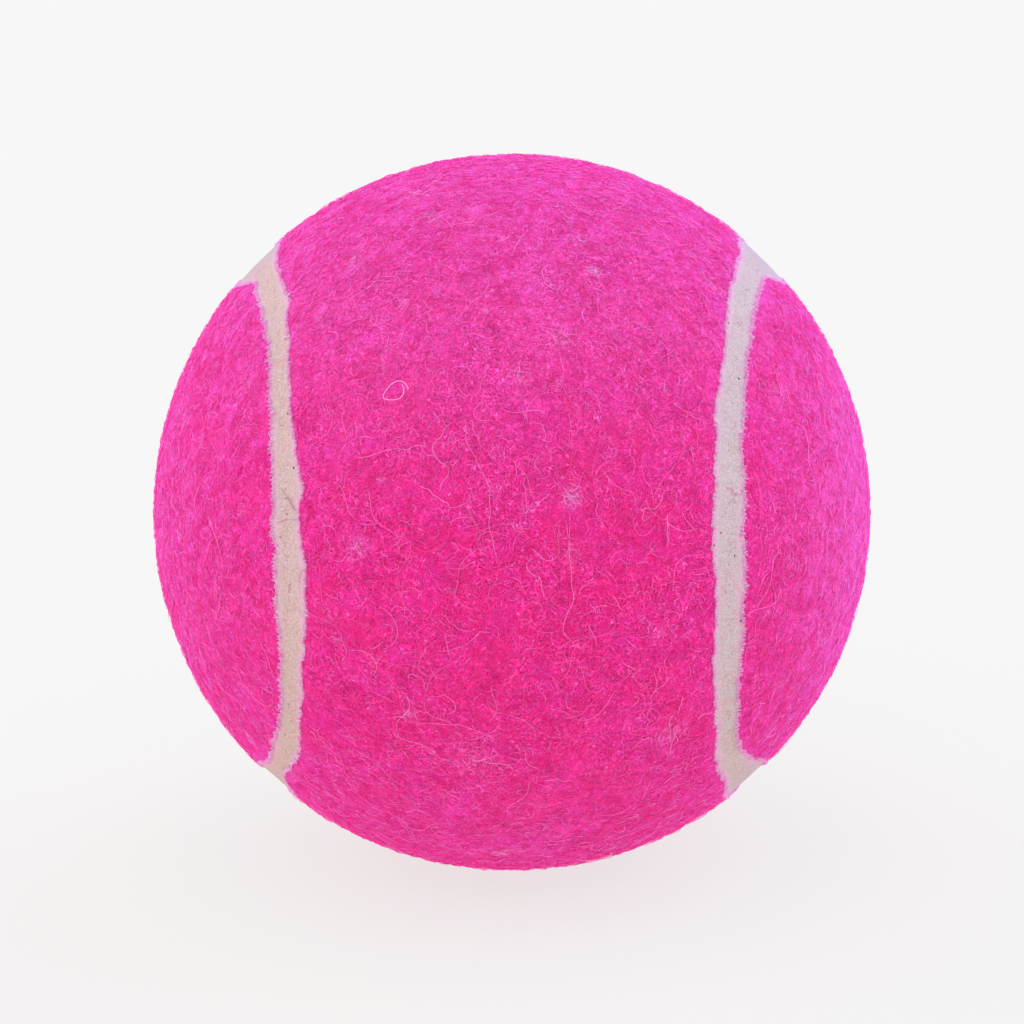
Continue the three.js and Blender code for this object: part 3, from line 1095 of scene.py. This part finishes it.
@dataclass(frozen=True)
class FibreShape:
    """One three-sided fibre that tapers to a point at both ends, of which every strand is a copy.

    Attributes:
        level: The row of each corner along the fibre.
        angle: The angle of each corner round it.
        spread: One for a corner on its surface, zero for a tip.
        corners: The corners of all its faces, in turn.
        starts: Where each face's corners start.
        levels: The number of rows.
    """

    level: Array
    angle: Array
    spread: Array
    corners: Array
    starts: Array
    levels: int

    @classmethod
    def modelled(cls, rings: int) -> "FibreShape":
        """Models the fibre from a three-sided ring.

        Args:
            rings: The number of rings between its tips.

        Returns:
            The fibre's shape.
        """
        deselect_all()
        bpy.ops.mesh.primitive_circle_add(vertices=3, radius=1.0, fill_type="NOTHING", location=(0, 0, 0))
        made = bpy.context.object
        bpy.ops.object.mode_set(mode="EDIT")
        bpy.ops.mesh.select_all(action="SELECT")
        for _ in range(rings - 1):
            bpy.ops.mesh.extrude_region_move(TRANSFORM_OT_translate={"value": (0, 0, 1)})
        bpy.ops.mesh.extrude_region_move(TRANSFORM_OT_translate={"value": (0, 0, 1)})
        bpy.ops.mesh.merge(type="CENTER")
        bpy.ops.mesh.select_all(action="DESELECT")
        bpy.ops.object.mode_set(mode="OBJECT")
        for edge in made.data.edges:
            edge.select = all(abs(made.data.vertices[v].co.z) < 0.5 for v in edge.vertices)
        bpy.ops.object.mode_set(mode="EDIT")
        bpy.ops.mesh.extrude_region_move(TRANSFORM_OT_translate={"value": (0, 0, -1)})
        bpy.ops.mesh.merge(type="CENTER")
        bpy.ops.mesh.select_all(action="SELECT")
        bpy.ops.mesh.normals_make_consistent(inside=False)
        bpy.ops.object.mode_set(mode="OBJECT")
        places = np.array([v.co for v in made.data.vertices])
        shape = cls(
            level=np.rint(places[:, 2]).astype(int) + 1,
            angle=np.arctan2(places[:, 1], places[:, 0]),
            spread=np.rint(np.hypot(places[:, 0], places[:, 1])),
            corners=np.array([v for face in made.data.polygons for v in face.vertices]),
            starts=np.array([face.loop_start for face in made.data.polygons]),
            levels=rings + 2,
        )
        bpy.data.meshes.remove(made.data)
        return shape

    def along(
        self, name: str, paths: Array, radii: Array, shades: Array, tufts: TuftField
    ) -> bpy.types.Object:
        """Lays a copy of the fibre along each path and joins them in one piece.

        Args:
            name: The piece's name.
            paths: The points of each path, one for each row of the fibre.
            radii: Each strand's radius.
            shades: Each strand's shade at each row.
            tufts: The pale tufts that it may lie in.

        Returns:
            The piece.
        """
        count, corners = len(paths), len(self.level)
        heading = unit(np.gradient(paths, axis=1))
        out = unit(paths)
        across = unit(np.cross(heading, out))
        lift = np.cross(across, heading)
        turn = np.cos(self.angle)[:, None] * across[:, self.level]
        turn = turn + np.sin(self.angle)[:, None] * lift[:, self.level]
        places = paths[:, self.level] + radii[:, None, None] * self.spread[:, None] * turn
        steps = np.arange(count)[:, None]
        mesh = bpy.data.meshes.new(name)
        mesh.vertices.add(count * corners)
        mesh.vertices.foreach_set("co", places.astype(np.float32).ravel())
        mesh.loops.add(count * len(self.corners))
        mesh.loops.foreach_set("vertex_index", (self.corners + steps * corners).astype(np.int32).ravel())
        mesh.polygons.add(count * len(self.starts))
        starts = self.starts + steps * len(self.corners)
        mesh.polygons.foreach_set("loop_start", starts.astype(np.int32).ravel())
        mesh.update(calc_edges=True)
        mark(mesh, "shade", shades[:, self.level])
        paleness = tufts.at(out.reshape(-1, 3)).reshape(count, self.levels)
        mark(mesh, "tuft", paleness[:, self.level])
        self._lay_out(mesh, count)
        mesh.shade_smooth()
        made = bpy.data.objects.new(name, mesh)
        bpy.context.scene.collection.objects.link(made)
        return made

    def _lay_out(self, mesh: bpy.types.Mesh, count: int) -> None:
        """Gives each strand a cell of its own on the texture map.

        Args:
            mesh: The mesh of all the strands.
            count: How many strands it has.
        """
        side = math.ceil(math.sqrt(count))
        strand = np.arange(count)[:, None]
        level, angle = self.level[self.corners], self.angle[self.corners]
        inset_along = 0.1 + 0.8 * level / (self.levels - 1)
        inset_across = 0.5 + 0.35 * angle / math.pi
        across = (strand % side + inset_along) / side
        up = (strand // side + inset_across) / side
        layer = mesh.uv_layers.new(name="OFBake")
        layer.data.foreach_set("uv", np.stack([across, up], -1).astype(np.float32).ravel())


@dataclass(frozen=True)
class StrandHabit:
    """How a kind of strand grows.

    Attributes:
        length: The shortest and longest.
        curl: The widest turn of the heading over a strand's length, in radians.
        wave: The height of the wave in its heading, in radians.
        lift: The lowest and highest rise over the felt.
        radius: The thinnest and thickest.
        shade: The darkest and palest.
        free: The share that ends in the air and isn't laid back.
        coil: How far it rises and falls over its turns.
    """

    length: tuple[float, float]
    curl: float
    wave: float
    lift: tuple[float, float]
    radius: tuple[float, float]
    shade: tuple[float, float]
    free: float = 0.3
    coil: float = 0.08 * MM


@dataclass
class Nap:
    """The fibres that stand up from a panel.

    Attributes:
        panels: The felt panels, by their side.
        line: The seam's line.
        tufts: The pale tufts.
        floor: The height of the floor, on which the nap is pressed flat.
        margin: How far a fibre may reach over the felt's edge.
        root_margin: How far inside the edge its root lies at least.
        field_limit: The angle from the waist's middle at which the waist's field ends.
    """

    panels: dict[Panel, FeltPanel]
    line: SeamLine
    tufts: TuftField
    floor: float
    margin: float = 0.22 * MM
    root_margin: float = 0.05 * MM
    field_limit: float = math.radians(52)

    def roots(self, rng: np.random.Generator, panel: Panel, part: Field | None, count: int) -> Array:
        """Scatters roots evenly over a field of a panel.

        Args:
            rng: The source of chance.
            panel: The panel.
            part: The field, or None for the whole panel.
            count: How many roots.

        Returns:
            Their unit vectors.
        """
        found = np.empty((0, 3))
        while len(found) < count:
            tries = unit(rng.normal(size=(count * 4, 3)))
            _, foot = self.line.middle_of(tries, panel)
            inside = {
                None: np.ones(len(tries), bool),
                Field.WAIST: np.abs(foot) < self.field_limit,
                Field.FIRST_LOBE: foot >= self.field_limit,
                Field.SECOND_LOBE: foot <= -self.field_limit,
            }[part]
            tries = tries[inside]
            t, off = self.line.locate(tries)
            within = panel.value * off > self.line.edge(t, panel) + self.root_margin
            found = np.concatenate([found, tries[within]])
        return found[:count]

    def paths(
        self, rng: np.random.Generator, panel: Panel, roots: Array, habit: StrandHabit, levels: int
    ) -> Array:
        """Draws the line of each strand.

        Args:
            rng: The source of chance.
            panel: The panel on which they grow.
            roots: Their roots.
            habit: How they grow.
            levels: The points on each line.

        Returns:
            The lines, without those that would reach over the felt's edge.
        """
        count = len(roots)
        length = rng.uniform(*habit.length, (count, 1))
        step = np.linspace(0, 1, levels)[None, :]
        heading = rng.uniform(0, 2 * np.pi, (count, 1)) + habit.curl * rng.uniform(-1, 1, (count, 1)) * step
        waves, phase = rng.uniform(2, 7, (count, 1)), rng.uniform(0, 6.3, (count, 1))
        heading = heading + habit.wave * np.sin(waves * step + phase)
        stride = length / (levels - 1)
        x = np.cumsum(np.cos(heading) * stride, axis=1)
        y = np.cumsum(np.sin(heading) * stride, axis=1)
        east = unit(np.cross(roots, roots[:, [1, 2, 0]] + 0.01))
        north = np.cross(roots, east)
        flat = roots[:, None] * self.line.radius + x[..., None] * east[:, None]
        way = unit(flat + y[..., None] * north[:, None])
        t, off = self.line.locate(way.reshape(-1, 3))
        over = panel.value * off < self.line.edge(t, panel) - self.margin
        kept = ~over.reshape(count, levels).any(axis=1)
        way, count = way[kept], int(kept.sum())
        base = self.panels[panel].heights(way.reshape(-1, 3)).reshape(count, levels)
        rise = rng.uniform(0, 1, (count, 1)) ** 1.6
        lift = habit.lift[0] + (habit.lift[1] - habit.lift[0]) * rise
        laid = np.sin(np.pi * step) ** 0.7
        free = step**0.8
        ends_free = rng.uniform(0, 1, (count, 1)) < habit.free
        coils = habit.coil * laid * (0.5 + 0.5 * np.sin(2 * heading[kept]))
        rise_line = np.where(ends_free, free, laid) * lift + coils - 0.02 * MM
        lines = way * (base + rise_line)[..., None]
        lines[..., 2] = np.maximum(lines[..., 2], self.floor + NAP_FLOOR_GAP)
        return lines

    def grow(
        self, name: str, seed: int, panel: Panel, part: Field | None, count: int,
        habit: StrandHabit, shape: FibreShape,
    ) -> bpy.types.Object:
        """Grows one piece of nap.

        Args:
            name: The piece's name.
            seed: The seed of its chance.
            panel: The panel that it grows on.
            part: The field of the panel, or None for all of it.
            count: The number of strands.
            habit: How they grow.
            shape: The fibre to copy.

        Returns:
            The piece.
        """
        rng = np.random.default_rng(seed)
        roots = self.roots(rng, panel, part, int(count * 1.25))
        lines = self.paths(rng, panel, roots, habit, shape.levels)[:count]
        radii = rng.uniform(*habit.radius, len(lines))
        own = rng.uniform(0, 1, (len(lines), 1)) ** 2.4
        # Painted shade and light: each strand is darker at its root by the felt and paler towards its tip.
        painted_root_shade = np.linspace(-0.12, 0.12, shape.levels)[None, :]
        shades = np.clip(habit.shade[0] + (habit.shade[1] - habit.shade[0]) * own + painted_root_shade, 0, 1)
        return shape.along(name, lines, radii, shades, self.tufts)


@dataclass(frozen=True)
class PhotoCamera:
    """The camera that sees the ball as the photograph does.

    Attributes:
        radius: The radius of the ball's outline.
        distance: The distance to the ball's centre, in radii.
        pitch: How far the camera stands above the ball's level.
        yaw: Its turn round the ball.
        roll: Its tilt.
        outline: The radius of the ball's outline in the image, in pixels.
    """

    radius: float
    distance: float = 6.0
    pitch: float = math.radians(9.8)
    yaw: float = math.radians(-0.75)
    roll: float = math.radians(-0.37)
    outline: float = 359.0

    def build(self) -> bpy.types.Object:
        """Adds the camera and makes it the scene's own.

        Returns:
            The camera.
        """
        turn = Vector((self.pitch, self.roll, self.yaw))
        seen = Matrix.Rotation(turn.length, 3, turn.normalized()).transposed()
        right, forward, up = seen @ Vector((1, 0, 0)), seen @ Vector((0, 1, 0)), seen @ Vector((0, 0, 1))
        place = -forward * self.distance * self.radius
        data = bpy.data.cameras.new("photo_camera")
        tangent = math.tan(math.asin(1 / self.distance)) * (IMAGE_SIDE / 2) / self.outline
        data.sensor_width = 36.0
        data.lens = data.sensor_width / 2 / tangent
        data.clip_start = 0.005
        camera = bpy.data.objects.new("photo_camera", data)
        bpy.context.scene.collection.objects.link(camera)
        camera.matrix_world = Matrix((
            (right.x, up.x, -forward.x, place.x),
            (right.y, up.y, -forward.y, place.y),
            (right.z, up.z, -forward.z, place.z),
            (0, 0, 0, 1),
        ))
        bpy.context.scene.camera = camera
        return camera


@dataclass
class Studio:
    """A plain pale floor that runs into a ground of the same tone, under soft even light.

    Attributes:
        ground_tone: The tone that the camera sees round the ball.
        sky_strength: The strength of the even light from all round.
        sky_tint: The tint of that light and of the soft light from above.
        glow_tint: The tint of the floor's light on the ball.
        key_strength: The strength of the soft light from above.
        key_angle: The breadth of that light.
        key_turn: Its tilt towards the front, and to the left.
        key_share: The share of it that reaches a level floor.
        glow_share: The share of the floor's tone that comes through it from below, as on a light table.
        glow_strength: How much stronger that light is on the ball than the camera shows it.
        side_angle: The breadth of the weak lights at the sides.
        side_turn: How far they stand above the ball's level, and behind it.
        side_share: The share of them that reaches a level floor.
        left_light: The strength and the tint of the one on the left.
        right_light: The strength and the tint of the one on the right.
        half_side: Half the floor's side.
    """

    ground_tone: float = linear(247, 247, 247)[0]
    sky_strength: float = 0.97
    sky_tint: Colour = (1.0, 0.96, 1.08)
    glow_tint: Colour = (1.0, 0.84, 0.8)
    key_strength: float = 1.05
    key_angle: float = math.radians(75)
    key_turn: tuple[float, float] = (math.radians(42), math.radians(-12))
    key_share: float = 0.65
    glow_share: float = 0.78
    glow_strength: float = 1.6
    side_angle: float = math.radians(60)
    side_turn: tuple[float, float] = (math.radians(20), math.radians(30))
    side_share: float = 0.39
    left_light: tuple[float, Colour] = (1.3, (1.0, 0.8, 0.86))
    right_light: tuple[float, Colour] = (2.1, (0.7, 0.72, 1.1))
    half_side: float = 6.0

    def build(self, floor_height: float) -> None:
        """Adds the floor, the world and the lamps.

        Args:
            floor_height: The height of the floor.
        """
        self._floor(floor_height)
        self._world()
        quarter = math.pi / 2
        fall, behind = quarter - self.side_turn[0], quarter + self.side_turn[1]
        self._lamp("key_light", self.key_strength, self.sky_tint, self.key_angle, (*self.key_turn, 0.0))
        self._lamp("left_light", *self.left_light, self.side_angle, (fall, 0.0, -behind))
        self._lamp("right_light", *self.right_light, self.side_angle, (fall, 0.0, behind))

    def _lamp(
        self, name: str, strength: float, tint: Colour, angle: float, turn: tuple[float, float, float]
    ) -> None:
        """Adds a far-off lamp.

        Args:
            name: Its name.
            strength: Its strength.
            tint: Its colour.
            angle: Its breadth, as an angle.
            turn: Its turn from straight overhead.
        """
        lamp = bpy.data.lights.new(name, "SUN")
        lamp.energy = strength
        lamp.color = tint
        lamp.angle = angle
        hung = bpy.data.objects.new(name, lamp)
        hung.rotation_euler = turn
        bpy.context.scene.collection.objects.link(hung)

    def _floor(self, height: float) -> None:
        """Adds the floor at a height, with a soft glow of its own."""
        deselect_all()
        bpy.ops.mesh.primitive_plane_add(size=2 * self.half_side, location=(0, 0, height))
        floor = bpy.context.object
        floor.name = "floor"
        material = bpy.data.materials.new("floor_paper")
        material.use_nodes = True
        nodes = material.node_tree.nodes
        nodes.remove(nodes["Principled BSDF"])
        graph = Graph(material.node_tree)
        tone = np.full(3, self.ground_tone)
        above = (self.sky_strength + self.key_strength * self.key_share / math.pi) * np.array(self.sky_tint)
        aside = sum(strength * np.array(tint) for strength, tint in (self.left_light, self.right_light))
        paper = graph.add("BsdfDiffuse", {"Color": tuple(tone / (above + aside * self.side_share / math.pi))})
        seen = graph.add("LightPath").outputs["Is Camera Ray"]
        glow = graph.mix(seen, tuple(tone * self.glow_tint), tuple(tone))
        strength = graph.span(seen, 0.0, 1.0, self.glow_strength, 1.0)
        plain = graph.add("Emission", {"Color": glow, "Strength": strength})
        mixed = graph.add("MixShader")
        graph.feed(mixed.inputs[0], self.glow_share)
        graph.feed(mixed.inputs[1], paper.outputs[0])
        graph.feed(mixed.inputs[2], plain.outputs[0])
        graph.feed(nodes["Material Output"].inputs[0], mixed.outputs[0])
        floor.data.materials.append(material)

    def _world(self) -> None:
        """Adds the world, whose seen tone is the floor's."""
        world = bpy.data.worlds.new("studio")
        bpy.context.scene.world = world
        world.use_nodes = True
        graph = Graph(world.node_tree)
        light = world.node_tree.nodes["Background"]
        path = graph.add("LightPath")
        seen = graph.math("MAXIMUM", path.outputs["Is Camera Ray"], path.outputs["Is Glossy Ray"])
        seen = graph.math("MAXIMUM", seen, path.outputs["Is Transmission Ray"])
        graph.feed(light.inputs["Color"], graph.mix(seen, self.sky_tint, (1.0, 1.0, 1.0)))
        graph.feed(light.inputs["Strength"], graph.span(seen, 0.0, 1.0, self.sky_strength, self.ground_tone))


def dress_hidden_parts(patterns: SharedPatterns) -> None:
    """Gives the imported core, its joint and the cement coats their finishes.

    Args:
        patterns: The node groups that finishes share.
    """
    rubber, cement = RubberFinish(patterns).material(), CementFinish(patterns).material()
    for name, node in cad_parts.items():
        if name.startswith("core_half"):
            node.data.materials.clear()
            node.data.materials.append(rubber)
        elif "cement" in name:
            node.data.materials.clear()
            node.data.materials.append(cement)


NAP_TONE = StrandTone(
    "pink_nap", linear(242, 8, 108), linear(255, 36, 151), linear(255, 152, 220),
    linear(248, 186, 234), patchy=0.16, pepper=0.38,
)
STRAY_TONE = StrandTone(
    "pale_strays", linear(255, 92, 184), linear(255, 146, 212), linear(255, 208, 240),
    linear(250, 210, 240), sheen=0.3,
)
FLUFF_TONE = StrandTone(
    "pale_fluff", linear(244, 124, 194), linear(232, 178, 212), linear(240, 220, 236), linear(244, 208, 232)
)
NAP_HABIT = StrandHabit(
    length=(1.1 * MM, 3.0 * MM), curl=4.4, wave=1.4, lift=(0.02 * MM, 0.23 * MM),
    radius=(0.018 * MM, 0.034 * MM), shade=(0.15, 1.0),
)
STRAY_HABIT = StrandHabit(
    length=(2.0 * MM, 6.0 * MM), curl=2.2, wave=0.7, lift=(0.06 * MM, 0.26 * MM),
    radius=(0.018 * MM, 0.026 * MM), shade=(0.05, 0.62), free=0.1,
)


@dataclass
class CutEdge:
    """The teeth of pale fluff where cement has crept into the felt's cut edges, along both sides of the seam.

    Attributes:
        line: The seam's line.
        tufts: The pale tufts.
        low: The radius at which the bristles of a tooth start, on the seam's border.
        high: The radius at which they end, over the felt.
        spacing: The distance from tooth to tooth.
        bristles: The bristles of each tooth.
        reach: How far its tip reaches over the felt, at least and at most.
        root: How far from the felt's edge its bristles start, at least and at most.
        radius: The thinnest and thickest bristle.
        seed: The seed of its chance.
    """

    line: SeamLine
    tufts: TuftField
    low: float
    high: float
    spacing: float = 0.34 * MM
    bristles: int = 7
    reach: tuple[float, float] = (-0.1 * MM, 0.22 * MM)
    root: tuple[float, float] = (0.1 * MM, 0.5 * MM)
    radius: tuple[float, float] = (0.016 * MM, 0.03 * MM)
    seed: int = 71

    def build(self, panel: Panel, shape: FibreShape) -> bpy.types.Object:
        """Lays the bristles along one panel's edge.

        Args:
            panel: The panel.
            shape: The fibre to copy.

        Returns:
            The piece.
        """
        rng = np.random.default_rng(self.seed + panel.value)
        fine = self.line.directions(np.linspace(0, 4 * np.pi, 4001))
        length = float(np.linalg.norm(np.diff(fine, axis=0), axis=1).sum()) * self.line.radius
        teeth = int(length / self.spacing)
        count = teeth * self.bristles
        pitch = 4 * np.pi / teeth
        tooth = np.repeat(self.line.stations(teeth) + rng.uniform(-0.3, 0.3, teeth) * pitch, self.bristles)
        tip_reach = np.repeat(rng.uniform(*self.reach, teeth), self.bristles)[:, None]
        tip = (tooth + rng.normal(0, 0.22, count) * pitch)[:, None]
        start = (tooth + rng.uniform(-0.6, 0.6, count) * pitch)[:, None]
        step = np.linspace(0, 1, shape.levels)[None, :]
        t = start + (tip - start) * step**1.5
        edge = self.line.edge(tooth, panel)[:, None]
        root = rng.uniform(*self.root, (count, 1))
        away = edge - root + (root + tip_reach) * step
        height = self.low + (self.high - self.low) * step
        height = height + rng.uniform(-0.02, 0.1, (count, 1)) * MM * np.sin(np.pi * step)
        height = height + rng.uniform(-0.05, 0.1, (count, 1)) * MM * step
        paths = self.line.beside(t, panel.value * away) * height[..., None]
        radii = rng.uniform(*self.radius, count)
        shades = np.clip(rng.uniform(0.25, 1.0, (count, 1)) - 0.15 * step, 0, 1)
        return shape.along(f"fluff_{panel.name.lower()}", paths, radii, shades, self.tufts)


@dataclass(frozen=True)
class MarkedStrand:
    """A single strand that stands out on the front.

    Attributes:
        spots: The angles of the places that it passes, to the right and up, in degrees.
        lift: Its height over the felt.
        radius: Its thickness from its middle.
        shade: How pale it is.
        wobble: The height of its small waves.
    """

    spots: tuple[tuple[float, float], ...]
    lift: float = 0.16 * MM
    radius: float = 0.02 * MM
    shade: float = 0.5
    wobble: float = 0.07 * MM

    def path(self, panels: dict[Panel, FeltPanel], levels: int) -> Array:
        """Draws a smooth line through the spots.

        Args:
            panels: The felt panels that it lies on.
            levels: The points on the line.

        Returns:
            The points.
        """
        knots = np.array([place(around, up) for around, up in self.spots])
        knots = np.concatenate([[2 * knots[0] - knots[1]], knots, [2 * knots[-1] - knots[-2]]])
        along = np.linspace(0, len(self.spots) - 1, levels)
        piece = np.minimum(along.astype(int), len(self.spots) - 2)
        share = (along - piece)[:, None]
        before, first, second, after = (knots[piece + i] for i in range(4))
        bend = 3 * (first - second) + after - before
        bend = 2 * before - 5 * first + 4 * second - after + share * bend
        line = first + 0.5 * share * (second - before + share * bend)
        across = np.cross(unit(line), unit(np.gradient(line, axis=0)))
        phase = self.spots[0][0]
        waves = np.sin(2.9 * along + phase) + 0.7 * np.sin(6.7 * along + 2.3 * phase)
        way = unit(line + across * (self.wobble / panels[Panel.UPRIGHT].outer * waves)[:, None])
        base = panels[Panel.UPRIGHT].heights(way)
        arch = np.sin(np.pi * np.linspace(0.08, 0.92, levels)) ** 0.5
        return way * (base + self.lift * arch)[:, None]


MARKED_STRANDS = (
    MarkedStrand((
        (-15.3, 26.5), (-15.3, 27.0), (-16.2, 27.7), (-17.2, 27.7), (-18.1, 27.1), (-18.8, 26.1),
        (-19.0, 25.3), (-18.3, 25.0), (-17.2, 25.0), (-16.2, 25.3), (-15.8, 26.1), (-16.1, 27.0),
        (-16.5, 27.5),
    ), 0.34 * MM, 0.036 * MM, 0.95, 0.0),
    MarkedStrand((
        (-6.1, 22.4), (-5.6, 19.4), (-2.8, 14.4), (-2.3, 10.6), (-2.1, 7.0), (-1.4, 3.4),
    ), shade=0.6),
    MarkedStrand(((-5.3, 22.4), (-4.4, 20.5), (-2.8, 18.0), (-1.6, 16.7))),
    MarkedStrand((
        (-8.0, 22.1), (-9.5, 20.4), (-10.6, 18.2), (-8.4, 15.7), (-8.4, 14.5), (-9.5, 12.5),
    ), shade=0.7),
    MarkedStrand(((-12.3, 13.2), (-10.4, 12.3), (-9.0, 11.4), (-7.8, 10.3)), shade=0.75),
    MarkedStrand(((4.1, 22.3), (5.4, 21.4), (5.6, 19.3))),
    MarkedStrand(((13.4, 15.2), (15.2, 13.2), (17.3, 12.1), (18.7, 10.2)), shade=0.45),
    MarkedStrand(((8.6, 9.5), (8.8, 1.9), (8.9, -2.5), (7.8, -6.2), (8.7, -8.6)), shade=0.6),
    MarkedStrand(((3.4, 3.4), (2.8, 2.0), (4.6, 0.3), (5.1, -2.0)), shade=0.7),
    MarkedStrand(((5.8, 12.1), (4.0, 10.6)), shade=0.8),
    MarkedStrand(((-10.2, -9.9), (-6.6, -9.0), (-3.8, -7.4)), shade=0.5),
    MarkedStrand(((-2.9, 29.3), (-3.9, 27.4), (-4.7, 25.6)), shade=0.45),
    MarkedStrand(((8.4, 32.9), (9.2, 29.8), (8.1, 27.6), (6.0, 26.9)), shade=0.4),
    MarkedStrand(((-9.1, 29.9), (-7.2, 30.2), (-5.2, 29.3)), shade=0.5),
    MarkedStrand(((-27.9, 44.6), (-23.5, 44.9), (-20.4, 43.3)), shade=0.5),
    MarkedStrand(((23.2, 8.5), (22.7, 6.5), (22.8, 4.1)), shade=0.8),
    MarkedStrand(((-14.8, -21.3), (-9.6, -21.5), (-5.6, -22.0), (-1.6, -24.1)), shade=0.5),
    MarkedStrand(((19.3, 7.9), (19.6, 9.6), (21.6, 9.8), (22.8, 11.7)), shade=0.65),
    MarkedStrand(((0.8, 16.8), (3.0, 14.3), (3.9, 11.4)), shade=0.35),
)


SEAM_HAIR_TONE = StrandTone(
    "seam_hairs", linear(146, 122, 106), linear(178, 104, 104), linear(236, 84, 160), linear(200, 160, 170)
)
SEAM_HAIRS = (
    MarkedStrand(((-34.9, 6.7), (-33.3, 7.3), (-31.0, 7.4)), -0.1 * MM, 0.02 * MM, 0.5, 0.03 * MM),
    MarkedStrand(((-30.8, -1.6), (-30.7, -0.5), (-30.3, 0.4)), -0.06 * MM, 0.018 * MM, 0.5, 0.03 * MM),
    MarkedStrand(((-32.9, -2.9), (-32.5, -1.8)), -0.1 * MM, 0.018 * MM, 0.45, 0.02 * MM),
    MarkedStrand((
        (-34.7, 11.5), (-33.6, 10.7), (-32.6, 9.8), (-31.6, 8.6),
    ), -0.1 * MM, 0.018 * MM, 0.1, 0.03 * MM),
    MarkedStrand(((-33.4, 10.5), (-32.0, 8.9), (-30.7, 8.7)), -0.1 * MM, 0.016 * MM, 0.1, 0.03 * MM),
    MarkedStrand(((34.2, 9.9), (34.8, 9.1)), -0.1 * MM, 0.016 * MM, 0.2, 0.02 * MM),
    MarkedStrand((
        (33.2, 11.2), (33.7, 11.4), (34.2, 11.1), (34.6, 10.6), (35.2, 10.4), (35.9, 10.3),
    ), -0.06 * MM, 0.024 * MM, 0.85, 0.02 * MM),
)


@dataclass
class TennisBall:
    """The whole ball, from its hidden core to the last stray fibre.

    Attributes:
        radius: The ball's radius over its nap.
        felt_back: The radius of the felt's back.
        floor: The height of the floor that the ball stands on.
        nap_depth: How far the nap stands over the matted felt.
        seam_recess: How far the seam's face lies below the nap.
        nap_count: The fibres of each field of nap.
        stray_count: The longer strands on each panel.
        seed: The seed before that of the first field of nap.
    """

    radius: float
    felt_back: float
    floor: float
    nap_depth: float = 0.24 * MM
    seam_recess: float = 0.34 * MM
    nap_count: int = 8300
    stray_count: int = 600
    seed: int = 10
    line: SeamLine = field(init=False)
    tufts: TuftField = field(init=False)
    panels: dict[Panel, FeltPanel] = field(init=False)

    def build(self) -> None:
        """Builds and dresses every piece."""
        patterns = SharedPatterns()
        self.line = SeamLine(self.radius)
        self.tufts = TuftField(self.radius)
        face = self.radius - self.nap_depth
        self.panels = {
            panel: FeltPanel(
                panel, f"felt_panel_{panel.name.lower()}", self.line, face, self.felt_back, self.floor,
                self.tufts,
            ).build()
            for panel in Panel
        }
        felt = FeltFinish(patterns)
        for panel in self.panels.values():
            panel.dress(felt)
        seam_face = self.radius - self.seam_recess
        SeamStrip(self.line, seam_face, seam_face - SEAM_DEPTH).build().dress(SeamFinish(patterns))
        self._grow_nap(patterns)
        edge = CutEdge(self.line, self.tufts, seam_face + 0.05 * MM, face + 0.06 * MM)
        fluff = StrandFinish(patterns, FLUFF_TONE).material()
        bristle = FibreShape.modelled(3)
        for panel in Panel:
            ride(edge.build(panel, bristle), fluff)
        dress_hidden_parts(patterns)

    def _grow_nap(self, patterns: SharedPatterns) -> None:
        """Grows the nap of both panels, the longer strays over it, and the strands that stand out.

        Args:
            patterns: The node groups that finishes share.
        """
        nap = Nap(self.panels, self.line, self.tufts, self.floor)
        material = StrandFinish(patterns, NAP_TONE).material()
        short, long = FibreShape.modelled(4), FibreShape.modelled(18)
        seed = self.seed
        for panel in Panel:
            for part in Field:
                seed += 1
                name = f"nap_{panel.name.lower()}_{part.value}"
                piece = nap.grow(name, seed, panel, part, self.nap_count, NAP_HABIT, short)
                ride(piece, material)
        pale = StrandFinish(patterns, STRAY_TONE).material()
        for panel in Panel:
            seed += 1
            name = f"strays_{panel.name.lower()}"
            piece = nap.grow(name, seed, panel, None, self.stray_count, STRAY_HABIT, long)
            ride(piece, pale)
        self._lay_marked("marked_strands", MARKED_STRANDS, pale)
        self._lay_marked("seam_hairs", SEAM_HAIRS, StrandFinish(patterns, SEAM_HAIR_TONE).material())

    def _lay_marked(self, name: str, strands: Sequence[MarkedStrand], material: bpy.types.Material) -> None:
        """Lays single strands in one piece.

        Args:
            name: The piece's name.
            strands: The strands.
            material: Their material.
        """
        wisp = FibreShape.modelled(46)
        paths = np.array([strand.path(self.panels, wisp.levels) for strand in strands])
        radii = np.array([strand.radius for strand in strands])
        shades = np.array([[strand.shade] * wisp.levels for strand in strands])
        ride(wisp.along(name, paths, radii, shades, self.tufts), material)


def main() -> None:
    """Builds the ball and its studio."""
    logging.basicConfig(level=logging.INFO, format="%(message)s")
    bpy.context.scene.view_settings.view_transform = "Standard"
    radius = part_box("felt_panel_level")[1].x
    PhotoCamera(radius).build()
    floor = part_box("felt_panel_upright")[0].z
    Studio().build(floor)
    TennisBall(radius, radius - FELT_THICKNESS, floor).build()


if __name__ == "__main__":
    main()
